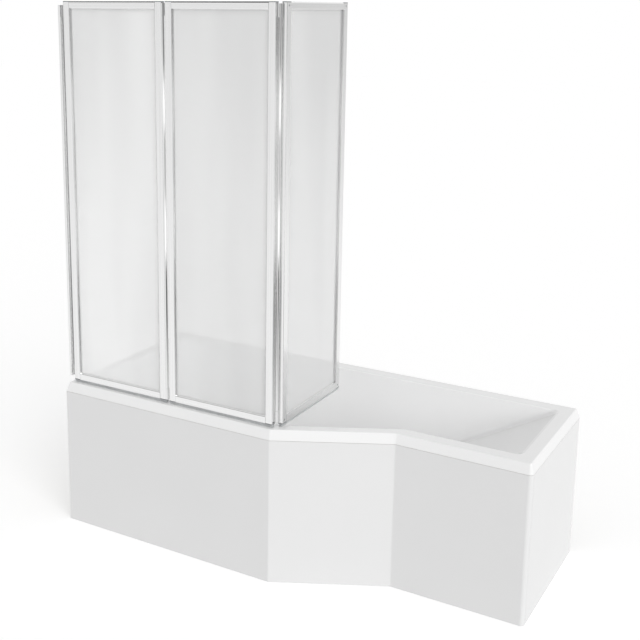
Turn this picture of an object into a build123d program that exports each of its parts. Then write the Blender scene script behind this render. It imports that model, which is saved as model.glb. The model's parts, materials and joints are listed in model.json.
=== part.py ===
from build123d import *
from math import atan, cos, degrees, radians, sin, sqrt, tan
import os

os.makedirs("parts", exist_ok=True)

# P shaped shower bath with a folding three-wing glass screen. Millimetres, Z up.
# The origin lies on the floor under the middle of the plan: X runs along the bath to its
# narrow end, Y runs back to the long wall, and the end wall of the shower zone is at X_LEFT.

# ---------------------------------------------------------------- bath plan and heights
BATH_LENGTH = 1700.0
BATH_WIDTH = 750.0
NARROW_WIDTH = 558.0
WIDE_FRONT = 875.0  # straight front of the shower zone
DIAGONAL_RUN = 368.0  # length of the diagonal facet along X
RIM_HEIGHT = 550.0
LIP_HEIGHT = 35.0
LIP_DRAFT = 9.5  # the lip's top edge stands in from its bottom edge
SHELL_WALL = 6.0  # acrylic with its glass fibre backing
FLAT_RIM_FRONT = 50.0
FLAT_RIM_DIAGONAL = 38.0
FLAT_RIM_LEFT = 50.0
FLAT_RIM_END = 46.0
FLAT_RIM_BACK = 56.0
RIM_EDGE_RADIUS = 4.0
BASIN_EDGE = 3.0  # bevel between the rim and the basin's walls
BASIN_DEPTH = 385.0
BASIN_DRAFT = 8.0  # degrees, front and back walls
SHOWER_END_DRAFT = 20.0  # degrees, wall of the shower end
DIAGONAL_DRAFT = 10.0  # degrees
BACKREST_ANGLE = 28.5  # degrees above level
BASIN_RADIUS = 26.0
CORNER_RADIUS = 14.0  # outside corners of rim and panels

# ---------------------------------------------------------------- panels
PANEL_THICKNESS = 4.0
PANEL_SEAM = 1.0  # gap under the lip and between the two panels
PANEL_FLANGE = 12.0
CORNER_RETURN = 14.0  # the front panel turns this far onto the end face
CLIP_WIDTH = 40.0
CLIP_SHEET = 2.0

# ---------------------------------------------------------------- support
BOARD_THICKNESS = 18.0
BOARD_MARGIN = 38.0  # from the basin floor's outer edges
BOARD_WASTE_HOLE = 130.0
BOARD_SCREW = 5.0
BOARD_SCREW_HOLE = 13.0  # depth of the hole in the board
SCREW_TIP_GAP = 1.0
RAIL_HEIGHT = 25.0
RAIL_WEB = 32.0
RAIL_FLANGE = 20.0
RAIL_SHEET = 2.5
RAIL_FROM_DRAIN = 120.0
RAIL_FROM_BOARD_END = 47.5
RAIL_END_INSET = 8.0  # the rails stop short of the board's edges
SCREW_FROM_RAIL_END = 60.0
FOOT_FROM_RAIL_END = 25.0
FOOT_PAD = 46.0
FOOT_PAD_HEIGHT = 12.0
FOOT_ROD = 10.0
HOLE_CLEARANCE = 0.5  # between a rod, screw or tail and the hole it passes
ROD_END = 4.0  # the rod stands above its upper nut
NUT_FLATS = 17.0
NUT_HEIGHT = 8.0
END_TUBE = 25.0
END_TUBE_WALL = 2.0
END_FRAME_INSET = 27.5  # from the end of the bath to the tube's outer face
END_UPRIGHT_SETBACK = 50.0  # from the front and back faces to the uprights' middles
END_UPRIGHT_FOOT = 70.0  # height of the lower ends of the uprights
WALL_CLIP_WIDTH = 60.0
WALL_CLIP_SHEET = 3.0
WALL_CLIP_HEIGHT = 50.0
WALL_CLIP_HOLE = 6.0
WALL_CLIP_SPACING = 900.0

# ---------------------------------------------------------------- waste
DRAIN_FROM_LEFT = 300.0
WASTE_FLANGE = 70.0
WASTE_FLANGE_THICKNESS = 2.5
WASTE_RECESS = 3.0
RECESS_CLEARANCE = 1.0
WASTE_THREAD = 46.0
WASTE_BORE = 40.0
WASTE_LENGTH = 34.0
PLUG_DIAMETER = 62.0
PLUG_CROWN = 5.0
PLUG_EDGE = 2.0
PLUG_STEM = 8.0
PLUG_TRAVEL = 7.0
SPIDER_DROP = 5.0
SPIDER_HEIGHT = 9.0
SPIDER_RIB = 3.0
WASTE_GASKET = 66.0
WASTE_GASKET_THICKNESS = 3.0
WASTE_NUT_FLATS = 60.0
WASTE_NUT_HEIGHT = 11.0
RUNNING_CLEARANCE = 0.05
REST_GAP = 0.3
TRAP_CUP = 92.0
TRAP_CUP_HEIGHT = 62.0
TRAP_NECK = 15.0  # from the waste's tail down to the cup
TRAP_WALL = 3.0
TRAP_SEAL = 20.0
OUTLET_DIAMETER = 43.0
OUTLET_BORE = 39.0
OUTLET_REACH = 130.0
OUTLET_COLLAR = 49.0
OUTLET_COLLAR_REACH = 60.0

# ---------------------------------------------------------------- screen
SCREEN_HEIGHT = 1385.0  # above the rim
SCREEN_SETBACK = 22.0  # from the panel's face to the screen's outer face
WING_WIDTH = 419.0
WING_THICKNESS = 18.0
STILE_WIDTH = 27.0
FRAME_RAIL = 24.0
FRAME_WALL = 1.8
FRAME_RADIUS = 2.0
GLASS_THICKNESS = 4.0
GLASS_GRIP = 8.0  # how far the frame covers the glass
GROOVE_WIDTH = 7.0
GROOVE_DEPTH = 9.0
GASKET_PROUD = 1.5
SEAL_GAP = 0.3  # between the sweep and the rim
SEAL_HEIGHT = 10.7
SEAL_WIDTH = 9.0
SEAL_FIN = 1.6
CAP_THICKNESS = 2.5
HINGE_RADIUS = 5.5
HINGE_HALF_GAP = 6.5  # from the hinge axis to each frame
FOLD_GAP = 1.5  # between two wings folded flat
PIN_RADIUS = 2.5
PIN_LENGTH = 70.0
KNUCKLE_LENGTH = 40.0
KNUCKLE_GAP = 0.6
HINGE_END = 6.0  # the hinge tube stops short of the frame's ends
WEB_THICKNESS = 3.0
WEB_INSET = 1.6  # from the frame's face
WALL_CHANNEL_DEPTH = 10.0
WALL_CHANNEL_SHEET = 1.5
WALL_CHANNEL_BOTTOM = 21.0  # above the rim
WALL_CHANNEL_TOP = 13.0  # below the top of the screen
CHANNEL_HOLE = 5.0
CHANNEL_HOLE_SPACING = 600.0
SCREW_HEAD = 6.0

# ---------------------------------------------------------------- places that follow
X_LEFT, X_RIGHT = -BATH_LENGTH / 2, BATH_LENGTH / 2
Y_FRONT, Y_BACK = -BATH_WIDTH / 2, BATH_WIDTH / 2
Y_NARROW = Y_BACK - NARROW_WIDTH
X_WIDE_END = X_LEFT + WIDE_FRONT
X_NARROW_START = X_WIDE_END + DIAGONAL_RUN
LIP_BOTTOM = RIM_HEIGHT - LIP_HEIGHT
LIP_TAPER = degrees(atan(LIP_DRAFT / LIP_HEIGHT))
RIM_UNDERSIDE = RIM_HEIGHT - SHELL_WALL
FLOOR_HEIGHT = RIM_HEIGHT - BASIN_DEPTH
SHELL_UNDERSIDE = FLOOR_HEIGHT - SHELL_WALL
PANEL_TOP = LIP_BOTTOM - PANEL_SEAM
BOARD_BOTTOM = SHELL_UNDERSIDE - BOARD_THICKNESS
RAIL_BOTTOM = BOARD_BOTTOM - RAIL_HEIGHT
X_DRAIN = X_LEFT + DRAIN_FROM_LEFT
FLANGE_BASE = FLOOR_HEIGHT - WASTE_RECESS
FLANGE_TOP = FLANGE_BASE + WASTE_FLANGE_THICKNESS

# Plan corners, anticlockwise from the rear corner of the shower end.
PLAN_CORNERS = [
    (X_LEFT, Y_BACK),
    (X_LEFT, Y_FRONT),
    (X_WIDE_END, Y_FRONT),
    (X_NARROW_START, Y_NARROW),
    (X_RIGHT, Y_NARROW),
    (X_RIGHT, Y_BACK),
]
# Flat rim and wall draft of each side: shower end, wide front, diagonal, narrow front, foot end,
# back. The backrest makes the foot end's wall, so there the hollow only has to reach past it.
BASIN_SIDES = [
    (FLAT_RIM_LEFT, SHOWER_END_DRAFT),
    (FLAT_RIM_FRONT, BASIN_DRAFT),
    (FLAT_RIM_DIAGONAL, DIAGONAL_DRAFT),
    (FLAT_RIM_FRONT, BASIN_DRAFT),
    (-FLAT_RIM_END, 0.0),
    (FLAT_RIM_BACK, BASIN_DRAFT),
]


def inset_corners(insets):
    """Corners of the plan with each side moved in by its own distance."""
    corners = [Vector(*corner) for corner in PLAN_CORNERS]
    sides = []
    for start, end, inset in zip(corners, corners[1:] + corners[:1], insets):
        along = (end - start).normalized()
        sides.append((start + Vector(-along.Y, along.X) * inset, along))
    crossings = []
    for (start, along), (other, across) in zip(sides[-1:] + sides[:-1], sides):
        reach = (other - start).cross(across).Z / along.cross(across).Z
        crossings.append(start + along * reach)
    return crossings


def plan_face(inset):
    """The plan moved in by inset, with its outside corners rounded."""
    radius = max(CORNER_RADIUS - inset, 1.0)
    with BuildSketch(mode=Mode.PRIVATE) as plan:
        with BuildLine():
            Polyline(*inset_corners([inset] * len(PLAN_CORNERS)), close=True)
        make_face()
        fillet(plan.vertices().sort_by(Axis.Y)[:4].sort_by(Axis.X)[1:], radius=radius)
    return plan.sketch


def basin_corners(depth, grow):
    """Corners of the basin's walls at a depth below the rim, with each wall moved out by grow."""
    insets = []
    for flat, draft in BASIN_SIDES:
        wall = radians(draft)
        insets.append(LIP_DRAFT + flat + depth * tan(wall) - grow / cos(wall))
    return inset_corners(insets)


def bevel_corners(depth, spread):
    """Corners of the basin at a depth below the rim, with each side moved out by spread."""
    sides = [*BASIN_SIDES[:4], (FLAT_RIM_END, 90.0 - BACKREST_ANGLE), BASIN_SIDES[5]]
    insets = [LIP_DRAFT + flat - spread + depth * tan(radians(draft)) for flat, draft in sides]
    return inset_corners(insets)


def bevel_form():
    """What the bevel round the basin takes off the rim."""
    with BuildPart() as bevel:
        for depth, spread in ((0, BASIN_EDGE), (2 * BASIN_EDGE, -BASIN_EDGE)):
            with BuildSketch(Plane.XY.offset(RIM_HEIGHT - depth)) as outline:
                with BuildLine():
                    Polyline(*bevel_corners(depth, spread), close=True)
                make_face()
                fillet(outline.vertices(), radius=BASIN_RADIUS + spread)
        loft(ruled=True)
    return bevel.part


def basin_form(grow):
    """Solid in the shape of the basin's hollow, with every face moved out by grow."""
    slope = radians(BACKREST_ANGLE)
    backrest = Plane(
        origin=(X_RIGHT - LIP_DRAFT - FLAT_RIM_END, 0, RIM_HEIGHT),
        x_dir=(0, 1, 0),
        z_dir=(-sin(slope), 0, cos(slope)),
    ).offset(-grow)
    with BuildPart() as form:
        with BuildSketch(Plane.XY.offset(RIM_HEIGHT)):
            with BuildLine():
                Polyline(*basin_corners(0, grow), close=True)
            make_face()
        with BuildSketch(Plane.XY.offset(FLOOR_HEIGHT - grow)):
            with BuildLine():
                Polyline(*basin_corners(BASIN_DEPTH + grow, grow), close=True)
            make_face()
        loft(ruled=True)
        split(bisect_by=backrest, keep=Keep.TOP)
        wall_edges = form.edges() - form.edges().group_by(Axis.Z)[-1]
        fillet(wall_edges, radius=BASIN_RADIUS)
    return form.part


# ================================================================= bath shell
BASIN_HOLLOW = basin_form(0)
BASIN_OUTSIDE = basin_form(SHELL_WALL)

with BuildPart() as bath_shell:
    with BuildSketch(Plane.XY.offset(LIP_BOTTOM)):
        add(plan_face(0))
    extrude(amount=LIP_HEIGHT, taper=LIP_TAPER)
    with BuildSketch(Plane.XY.offset(LIP_BOTTOM)):
        add(plan_face(SHELL_WALL))
    extrude(amount=LIP_HEIGHT - SHELL_WALL, taper=LIP_TAPER, mode=Mode.SUBTRACT)
    rim_face = bath_shell.faces().sort_by(Axis.Z)[-1]
    fillet(rim_face.outer_wire().edges(), radius=RIM_EDGE_RADIUS)
    add(BASIN_OUTSIDE)
    add(BASIN_HOLLOW, mode=Mode.SUBTRACT)
    add(bevel_form(), mode=Mode.SUBTRACT)
    with Locations((X_DRAIN, 0, FLOOR_HEIGHT)):
        CounterBoreHole(
            radius=WASTE_THREAD / 2 + HOLE_CLEARANCE,
            counter_bore_radius=WASTE_FLANGE / 2 + RECESS_CLEARANCE,
            counter_bore_depth=WASTE_RECESS,
            depth=2 * SHELL_WALL,
        )
bath_shell.part.label = "bath_shell"
export_step(bath_shell.part, "parts/bath_shell.step")


# ================================================================= board, rails and feet
BASIN_FLOOR = basin_corners(BASIN_DEPTH, 0)
BACKREST_TOP_X = X_RIGHT - LIP_DRAFT - FLAT_RIM_END
BACKREST_FOOT_X = BACKREST_TOP_X - BASIN_DEPTH / tan(radians(BACKREST_ANGLE))
BOARD_LEFT = BASIN_FLOOR[0].X + BOARD_MARGIN
BOARD_RIGHT = BACKREST_FOOT_X - BOARD_MARGIN
BOARD_FRONT = BASIN_FLOOR[1].Y + BOARD_MARGIN
BOARD_BACK = BASIN_FLOOR[0].Y - BOARD_MARGIN
RAIL_PLACES = {"left": X_DRAIN + RAIL_FROM_DRAIN, "right": BOARD_RIGHT - RAIL_FROM_BOARD_END}
RAIL_FRONT = BOARD_FRONT + RAIL_END_INSET
RAIL_BACK = BOARD_BACK - RAIL_END_INSET
RAIL_SCREW_OFFSET = (RAIL_WEB + RAIL_FLANGE) / 2
RAIL_SCREWS = [
    (rail_x + side * RAIL_SCREW_OFFSET, screw_y)
    for rail_x in RAIL_PLACES.values()
    for side in (-1, 1)
    for screw_y in (RAIL_FRONT + SCREW_FROM_RAIL_END, RAIL_BACK - SCREW_FROM_RAIL_END)
]
FOOT_ROWS = (RAIL_FRONT + FOOT_FROM_RAIL_END, RAIL_BACK - FOOT_FROM_RAIL_END)

with BuildPart() as base_board:
    with BuildSketch(Plane.XY.offset(BOARD_BOTTOM)):
        with BuildLine():
            Polyline(
                (BOARD_LEFT, BOARD_FRONT),
                (BOARD_RIGHT, BOARD_FRONT),
                (BOARD_RIGHT, BOARD_BACK),
                (BOARD_LEFT, BOARD_BACK),
                close=True,
            )
        make_face()
        with Locations((X_DRAIN, 0)):
            Circle(BOARD_WASTE_HOLE / 2, mode=Mode.SUBTRACT)
    extrude(amount=BOARD_THICKNESS)
    with BuildSketch(Plane.XY.offset(BOARD_BOTTOM)):
        with Locations(*RAIL_SCREWS):
            Circle(BOARD_SCREW / 2 + RUNNING_CLEARANCE)
    extrude(amount=BOARD_SCREW_HOLE, mode=Mode.SUBTRACT)
base_board.part.label = "base_board"
export_step(base_board.part, "parts/base_board.step")

for side_name, rail_x in RAIL_PLACES.items():
    with BuildPart() as leg_rail:
        section_plane = Plane(
            origin=(rail_x, RAIL_BACK, BOARD_BOTTOM), x_dir=(1, 0, 0), z_dir=(0, -1, 0)
        )
        with BuildSketch(section_plane):
            Rectangle(RAIL_WEB, RAIL_HEIGHT, align=(Align.CENTER, Align.MAX))
            Rectangle(RAIL_WEB + 2 * RAIL_FLANGE, RAIL_SHEET, align=(Align.CENTER, Align.MAX))
            Rectangle(
                RAIL_WEB - 2 * RAIL_SHEET,
                RAIL_HEIGHT - RAIL_SHEET,
                align=(Align.CENTER, Align.MAX),
                mode=Mode.SUBTRACT,
            )
        extrude(amount=RAIL_BACK - RAIL_FRONT)
        with BuildSketch(Plane.XY.offset(RAIL_BOTTOM)):
            with Locations(*[(rail_x, foot_y) for foot_y in FOOT_ROWS]):
                Circle((FOOT_ROD + HOLE_CLEARANCE) / 2)
            with Locations(*RAIL_SCREWS):
                Circle((BOARD_SCREW + HOLE_CLEARANCE) / 2)
        extrude(amount=RAIL_HEIGHT, mode=Mode.SUBTRACT)
    leg_rail.part.label = f"leg_rail_{side_name}"
    export_step(leg_rail.part, f"parts/leg_rail_{side_name}.step")

with BuildPart() as board_screws:
    with BuildSketch(Plane.XY.offset(BOARD_BOTTOM)):
        with Locations(*RAIL_SCREWS):
            Circle(BOARD_SCREW / 2)
    extrude(amount=BOARD_SCREW_HOLE - SCREW_TIP_GAP)
    extrude(faces().sort_by(Axis.Z)[: len(RAIL_SCREWS)], amount=RAIL_SHEET)
    with BuildSketch(Plane.XY.offset(BOARD_BOTTOM - RAIL_SHEET)):
        with Locations(*RAIL_SCREWS):
            Circle(BOARD_SCREW)
    extrude(amount=-BOARD_SCREW / 2)
board_screws.part.label = "board_screws"
export_step(board_screws.part, "parts/board_screws.step")

END_TUBE_X = X_RIGHT - END_FRAME_INSET - END_TUBE / 2
END_FRONT_Y = Y_NARROW + END_UPRIGHT_SETBACK
END_BACK_Y = Y_BACK - END_UPRIGHT_SETBACK
CROSSBAR_BOTTOM = RIM_UNDERSIDE - END_TUBE

with BuildPart() as end_leg_frame:
    crossbar_plane = Plane(
        origin=(END_TUBE_X, END_BACK_Y + END_TUBE / 2, RIM_UNDERSIDE - END_TUBE / 2),
        x_dir=(1, 0, 0),
        z_dir=(0, -1, 0),
    )
    with BuildSketch(crossbar_plane):
        Rectangle(END_TUBE, END_TUBE)
        Rectangle(END_TUBE - 2 * END_TUBE_WALL, END_TUBE - 2 * END_TUBE_WALL, mode=Mode.SUBTRACT)
    extrude(amount=END_BACK_Y - END_FRONT_Y + END_TUBE)
    with BuildSketch(Plane.XY.offset(END_UPRIGHT_FOOT)):
        with Locations((END_TUBE_X, END_FRONT_Y), (END_TUBE_X, END_BACK_Y)):
            Rectangle(END_TUBE, END_TUBE)
            Rectangle(
                END_TUBE - 2 * END_TUBE_WALL, END_TUBE - 2 * END_TUBE_WALL, mode=Mode.SUBTRACT
            )
    extrude(amount=CROSSBAR_BOTTOM - END_UPRIGHT_FOOT)
    with BuildSketch(Plane.XY.offset(END_UPRIGHT_FOOT)):
        with Locations((END_TUBE_X, END_FRONT_Y), (END_TUBE_X, END_BACK_Y)):
            Rectangle(END_TUBE, END_TUBE)
            Circle((FOOT_ROD + HOLE_CLEARANCE) / 2, mode=Mode.SUBTRACT)
    extrude(amount=END_TUBE_WALL)
end_leg_frame.part.label = "end_leg_frame"
export_step(end_leg_frame.part, "parts/end_leg_frame.step")

# Each foot: its place, the underside of the web that its lock nuts clamp, and the web's thickness.
FOOT_PLACES = [
    (rail_x, foot_y, RAIL_BOTTOM, RAIL_SHEET)
    for rail_x in RAIL_PLACES.values()
    for foot_y in FOOT_ROWS
]
FOOT_PLACES += [
    (END_TUBE_X, foot_y, END_UPRIGHT_FOOT, END_TUBE_WALL) for foot_y in (END_FRONT_Y, END_BACK_Y)
]

with BuildPart() as feet:
    for foot_x, foot_y, web_z, web in FOOT_PLACES:
        rod_top = web_z + web + NUT_HEIGHT + ROD_END
        foot_plane = Plane(origin=(foot_x, foot_y, 0), x_dir=(1, 0, 0), z_dir=(0, -1, 0))
        with BuildSketch(foot_plane):
            with BuildLine():
                Polyline(
                    (0, 0),
                    (FOOT_PAD / 2, 0),
                    (FOOT_PAD / 2, FOOT_PAD_HEIGHT / 3),
                    (FOOT_ROD, FOOT_PAD_HEIGHT),
                    (FOOT_ROD / 2, FOOT_PAD_HEIGHT),
                    (FOOT_ROD / 2, rod_top),
                    (0, rod_top),
                    close=True,
                )
            make_face()
        revolve(axis=Axis((foot_x, foot_y, 0), (0, 0, 1)))
feet.part.label = "feet"
export_step(feet.part, "parts/feet.step")

with BuildPart() as lock_nuts:
    for foot_x, foot_y, web_z, web in FOOT_PLACES:
        for nut_z in (web_z - NUT_HEIGHT, web_z + web):
            with BuildSketch(Plane((foot_x, foot_y, nut_z))):
                RegularPolygon(radius=NUT_FLATS / 2, side_count=6, major_radius=False)
                Circle(FOOT_ROD / 2 + RUNNING_CLEARANCE, mode=Mode.SUBTRACT)
            extrude(amount=NUT_HEIGHT)
lock_nuts.part.label = "lock_nuts"
export_step(lock_nuts.part, "parts/lock_nuts.step")

# ================================================================= panels and their clips
PANEL_FLANGE_EDGE = PANEL_THICKNESS + PANEL_FLANGE
CORNER_RETURN_Y = Y_NARROW + CORNER_RETURN


def front_region():
    """The part of the plan that belongs to the front panel."""
    with BuildSketch(mode=Mode.PRIVATE) as region:
        with BuildLine():
            Polyline(
                (X_LEFT, Y_FRONT),
                (X_RIGHT, Y_FRONT),
                (X_RIGHT, CORNER_RETURN_Y),
                (X_NARROW_START - BATH_WIDTH / 4, CORNER_RETURN_Y),
                (X_WIDE_END - BATH_WIDTH / 3, Y_FRONT + PANEL_FLANGE_EDGE),
                (X_LEFT, Y_FRONT + PANEL_FLANGE_EDGE),
                close=True,
            )
        make_face()
    return region.sketch


def end_region():
    """The part of the plan that belongs to the end panel."""
    with BuildSketch(mode=Mode.PRIVATE) as region:
        with BuildLine():
            Polyline(
                (X_RIGHT - PANEL_FLANGE_EDGE, CORNER_RETURN_Y + PANEL_SEAM),
                (X_RIGHT, CORNER_RETURN_Y + PANEL_SEAM),
                (X_RIGHT, Y_BACK),
                (X_RIGHT - PANEL_FLANGE_EDGE, Y_BACK),
                close=True,
            )
        make_face()
    return region.sketch


for panel_name, region in {"front_panel": front_region(), "end_panel": end_region()}.items():
    with BuildPart() as panel:
        with BuildSketch():
            add(plan_face(0))
            add(plan_face(PANEL_THICKNESS), mode=Mode.SUBTRACT)
            add(region, mode=Mode.INTERSECT)
        extrude(amount=PANEL_TOP)
        with BuildSketch(Plane.XY, Plane.XY.offset(PANEL_TOP - PANEL_THICKNESS)):
            add(plan_face(PANEL_THICKNESS))
            add(plan_face(PANEL_FLANGE_EDGE), mode=Mode.SUBTRACT)
            add(region, mode=Mode.INTERSECT)
        extrude(amount=PANEL_THICKNESS)
    panel.part.label = panel_name
    export_step(panel.part, f"parts/{panel_name}.step")

# Side of the plan that each clip stands on, by its two corners, and how far along the side.
WIDE_SIDE = PLAN_CORNERS[1:3]
DIAGONAL_SIDE = PLAN_CORNERS[2:4]
NARROW_SIDE = PLAN_CORNERS[3:5]
END_SIDE = PLAN_CORNERS[4:6]
CLIP_PLACES = [
    (WIDE_SIDE, 0.25),
    (WIDE_SIDE, 0.75),
    (DIAGONAL_SIDE, 0.5),
    (NARROW_SIDE, 0.5),
    (END_SIDE, 0.5),
]

with BuildPart() as panel_clips:
    for side, share in CLIP_PLACES:
        start, end = [Vector(*corner) for corner in side]
        along = (end - start).normalized()
        clip_plane = Plane(
            origin=start + (end - start) * share, x_dir=(-along.Y, along.X, 0), z_dir=along
        )
        tab_top = PANEL_TOP - PANEL_THICKNESS
        with BuildSketch(clip_plane):
            with BuildLine():
                Polyline(
                    (PANEL_FLANGE_EDGE, RIM_UNDERSIDE),
                    (PANEL_FLANGE_EDGE, tab_top),
                    (PANEL_FLANGE_EDGE - PANEL_FLANGE * 2 / 3, tab_top),
                    (PANEL_FLANGE_EDGE - PANEL_FLANGE * 2 / 3, tab_top - CLIP_SHEET),
                    (PANEL_FLANGE_EDGE + CLIP_SHEET, tab_top - CLIP_SHEET),
                    (PANEL_FLANGE_EDGE + CLIP_SHEET, RIM_UNDERSIDE),
                    close=True,
                )
            make_face()
        extrude(amount=CLIP_WIDTH / 2, both=True)
panel_clips.part.label = "panel_clips"
export_step(panel_clips.part, "parts/panel_clips.step")

# A wall clip is screwed to the wall and hooks up behind the lip.
HOOK_RISE = LIP_HEIGHT / 3
HOOK_OUT = SHELL_WALL + HOOK_RISE * LIP_DRAFT / LIP_HEIGHT + HOLE_CLEARANCE
WALL_CLIP_HOLE_HEIGHT = LIP_BOTTOM - WALL_CLIP_HEIGHT * 0.6
WALL_CLIP_PLANES = [
    Plane(origin=(x, Y_BACK, 0), x_dir=(0, -1, 0), z_dir=(-1, 0, 0))
    for x in (-WALL_CLIP_SPACING / 2, WALL_CLIP_SPACING / 2)
]
WALL_CLIP_PLANES.append(Plane(origin=(X_LEFT, 0, 0), x_dir=(1, 0, 0), z_dir=(0, -1, 0)))

with BuildPart() as wall_clips:
    for clip_plane in WALL_CLIP_PLANES:
        step_top = LIP_BOTTOM - PANEL_SEAM
        with BuildSketch(clip_plane):
            with BuildLine():
                Polyline(
                    (0, LIP_BOTTOM - WALL_CLIP_HEIGHT),
                    (WALL_CLIP_SHEET, LIP_BOTTOM - WALL_CLIP_HEIGHT),
                    (WALL_CLIP_SHEET, step_top - WALL_CLIP_SHEET),
                    (HOOK_OUT + WALL_CLIP_SHEET, step_top - WALL_CLIP_SHEET),
                    (HOOK_OUT + WALL_CLIP_SHEET, LIP_BOTTOM + HOOK_RISE),
                    (HOOK_OUT, LIP_BOTTOM + HOOK_RISE),
                    (HOOK_OUT, step_top),
                    (0, step_top),
                    close=True,
                )
            make_face()
        extrude(amount=WALL_CLIP_WIDTH / 2, both=True)
        hole_plane = Plane(
            origin=clip_plane.from_local_coords((0, WALL_CLIP_HOLE_HEIGHT, 0)),
            z_dir=clip_plane.x_dir,
        )
        with BuildSketch(hole_plane):
            Circle(WALL_CLIP_HOLE / 2)
        extrude(amount=WALL_CLIP_SHEET, mode=Mode.SUBTRACT)
wall_clips.part.label = "wall_clips"
export_step(wall_clips.part, "parts/wall_clips.step")

# ================================================================= waste and trap
WASTE_AXIS = Axis((X_DRAIN, 0, 0), (0, 0, 1))
WASTE_PLANE = Plane(origin=(X_DRAIN, 0, 0), x_dir=(1, 0, 0), z_dir=(0, -1, 0))
THREAD_RADIUS = WASTE_THREAD / 2
WASTE_END = FLANGE_BASE - WASTE_LENGTH
SPIDER_TOP = FLANGE_BASE - SPIDER_DROP
SPIDER_REACH = (WASTE_BORE + WASTE_THREAD) / 4  # the ribs end in the middle of the tail's wall
STEM_BORE = PLUG_STEM / 2 + RUNNING_CLEARANCE
BACK_NUT_TOP = SHELL_UNDERSIDE - WASTE_GASKET_THICKNESS

with BuildPart() as waste_flange:
    with BuildSketch(WASTE_PLANE):
        with BuildLine():
            Polyline(
                (WASTE_BORE / 2, WASTE_END),
                (THREAD_RADIUS, WASTE_END),
                (THREAD_RADIUS, FLANGE_BASE),
                (WASTE_FLANGE / 2, FLANGE_BASE),
                (WASTE_FLANGE / 2, FLANGE_TOP - WASTE_FLANGE_THICKNESS / 2),
                (WASTE_FLANGE / 2 - WASTE_FLANGE_THICKNESS, FLANGE_TOP),
                (WASTE_BORE / 2, FLANGE_TOP),
                close=True,
            )
        make_face()
    revolve(axis=WASTE_AXIS)
    with BuildSketch(Plane((X_DRAIN, 0, SPIDER_TOP - SPIDER_HEIGHT))):
        Circle(PLUG_STEM)
        with PolarLocations(SPIDER_REACH / 2, 3):
            Rectangle(SPIDER_REACH, SPIDER_RIB)
        Circle(STEM_BORE, mode=Mode.SUBTRACT)
    extrude(amount=SPIDER_HEIGHT)
waste_flange.part.label = "waste_flange"
export_step(waste_flange.part, "parts/waste_flange.step")

with BuildPart() as waste_plug:
    plug_base = FLANGE_TOP + REST_GAP
    plug_radius = PLUG_DIAMETER / 2
    dome_rise = PLUG_CROWN - PLUG_EDGE
    dome_radius = (plug_radius**2 + dome_rise**2) / (2 * dome_rise)
    dome_fall = dome_radius - sqrt(dome_radius**2 - plug_radius**2 / 4)
    stem_end = SPIDER_TOP - SPIDER_HEIGHT - PLUG_TRAVEL - REST_GAP
    with BuildSketch(WASTE_PLANE):
        with BuildLine():
            Line((0, stem_end), (PLUG_STEM / 2, stem_end))
            Line((PLUG_STEM / 2, stem_end), (PLUG_STEM / 2, plug_base))
            Line((PLUG_STEM / 2, plug_base), (plug_radius, plug_base))
            Line((plug_radius, plug_base), (plug_radius, plug_base + PLUG_EDGE))
            ThreePointArc(
                (plug_radius, plug_base + PLUG_EDGE),
                (plug_radius / 2, plug_base + PLUG_CROWN - dome_fall),
                (0, plug_base + PLUG_CROWN),
            )
            Line((0, plug_base + PLUG_CROWN), (0, stem_end))
        make_face()
    revolve(axis=WASTE_AXIS)
waste_plug.part.label = "waste_plug"
export_step(waste_plug.part, "parts/waste_plug.step")

with BuildPart() as waste_gasket:
    with BuildSketch(Plane((X_DRAIN, 0, BACK_NUT_TOP))):
        Circle(WASTE_GASKET / 2)
        Circle(THREAD_RADIUS + RUNNING_CLEARANCE, mode=Mode.SUBTRACT)
    extrude(amount=WASTE_GASKET_THICKNESS)
waste_gasket.part.label = "waste_gasket"
export_step(waste_gasket.part, "parts/waste_gasket.step")

TRAP_NUT_TOP = WASTE_END + WASTE_NUT_HEIGHT / 2
for nut_name, nut_top in {"waste_back_nut": BACK_NUT_TOP, "trap_nut": TRAP_NUT_TOP}.items():
    with BuildPart() as nut:
        with BuildSketch(Plane((X_DRAIN, 0, nut_top - WASTE_NUT_HEIGHT))):
            RegularPolygon(radius=WASTE_NUT_FLATS / 2, side_count=8, major_radius=False)
            Circle(THREAD_RADIUS + RUNNING_CLEARANCE, mode=Mode.SUBTRACT)
        extrude(amount=WASTE_NUT_HEIGHT)
    nut.part.label = nut_name
    export_step(nut.part, f"parts/{nut_name}.step")

TRAP_TOP = WASTE_END - TRAP_NECK
TRAP_BOTTOM = TRAP_TOP - TRAP_CUP_HEIGHT
OUTLET_HEIGHT = TRAP_TOP - TRAP_WALL - OUTLET_COLLAR / 2
DIP_END = TRAP_BOTTOM + TRAP_SEAL

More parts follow.
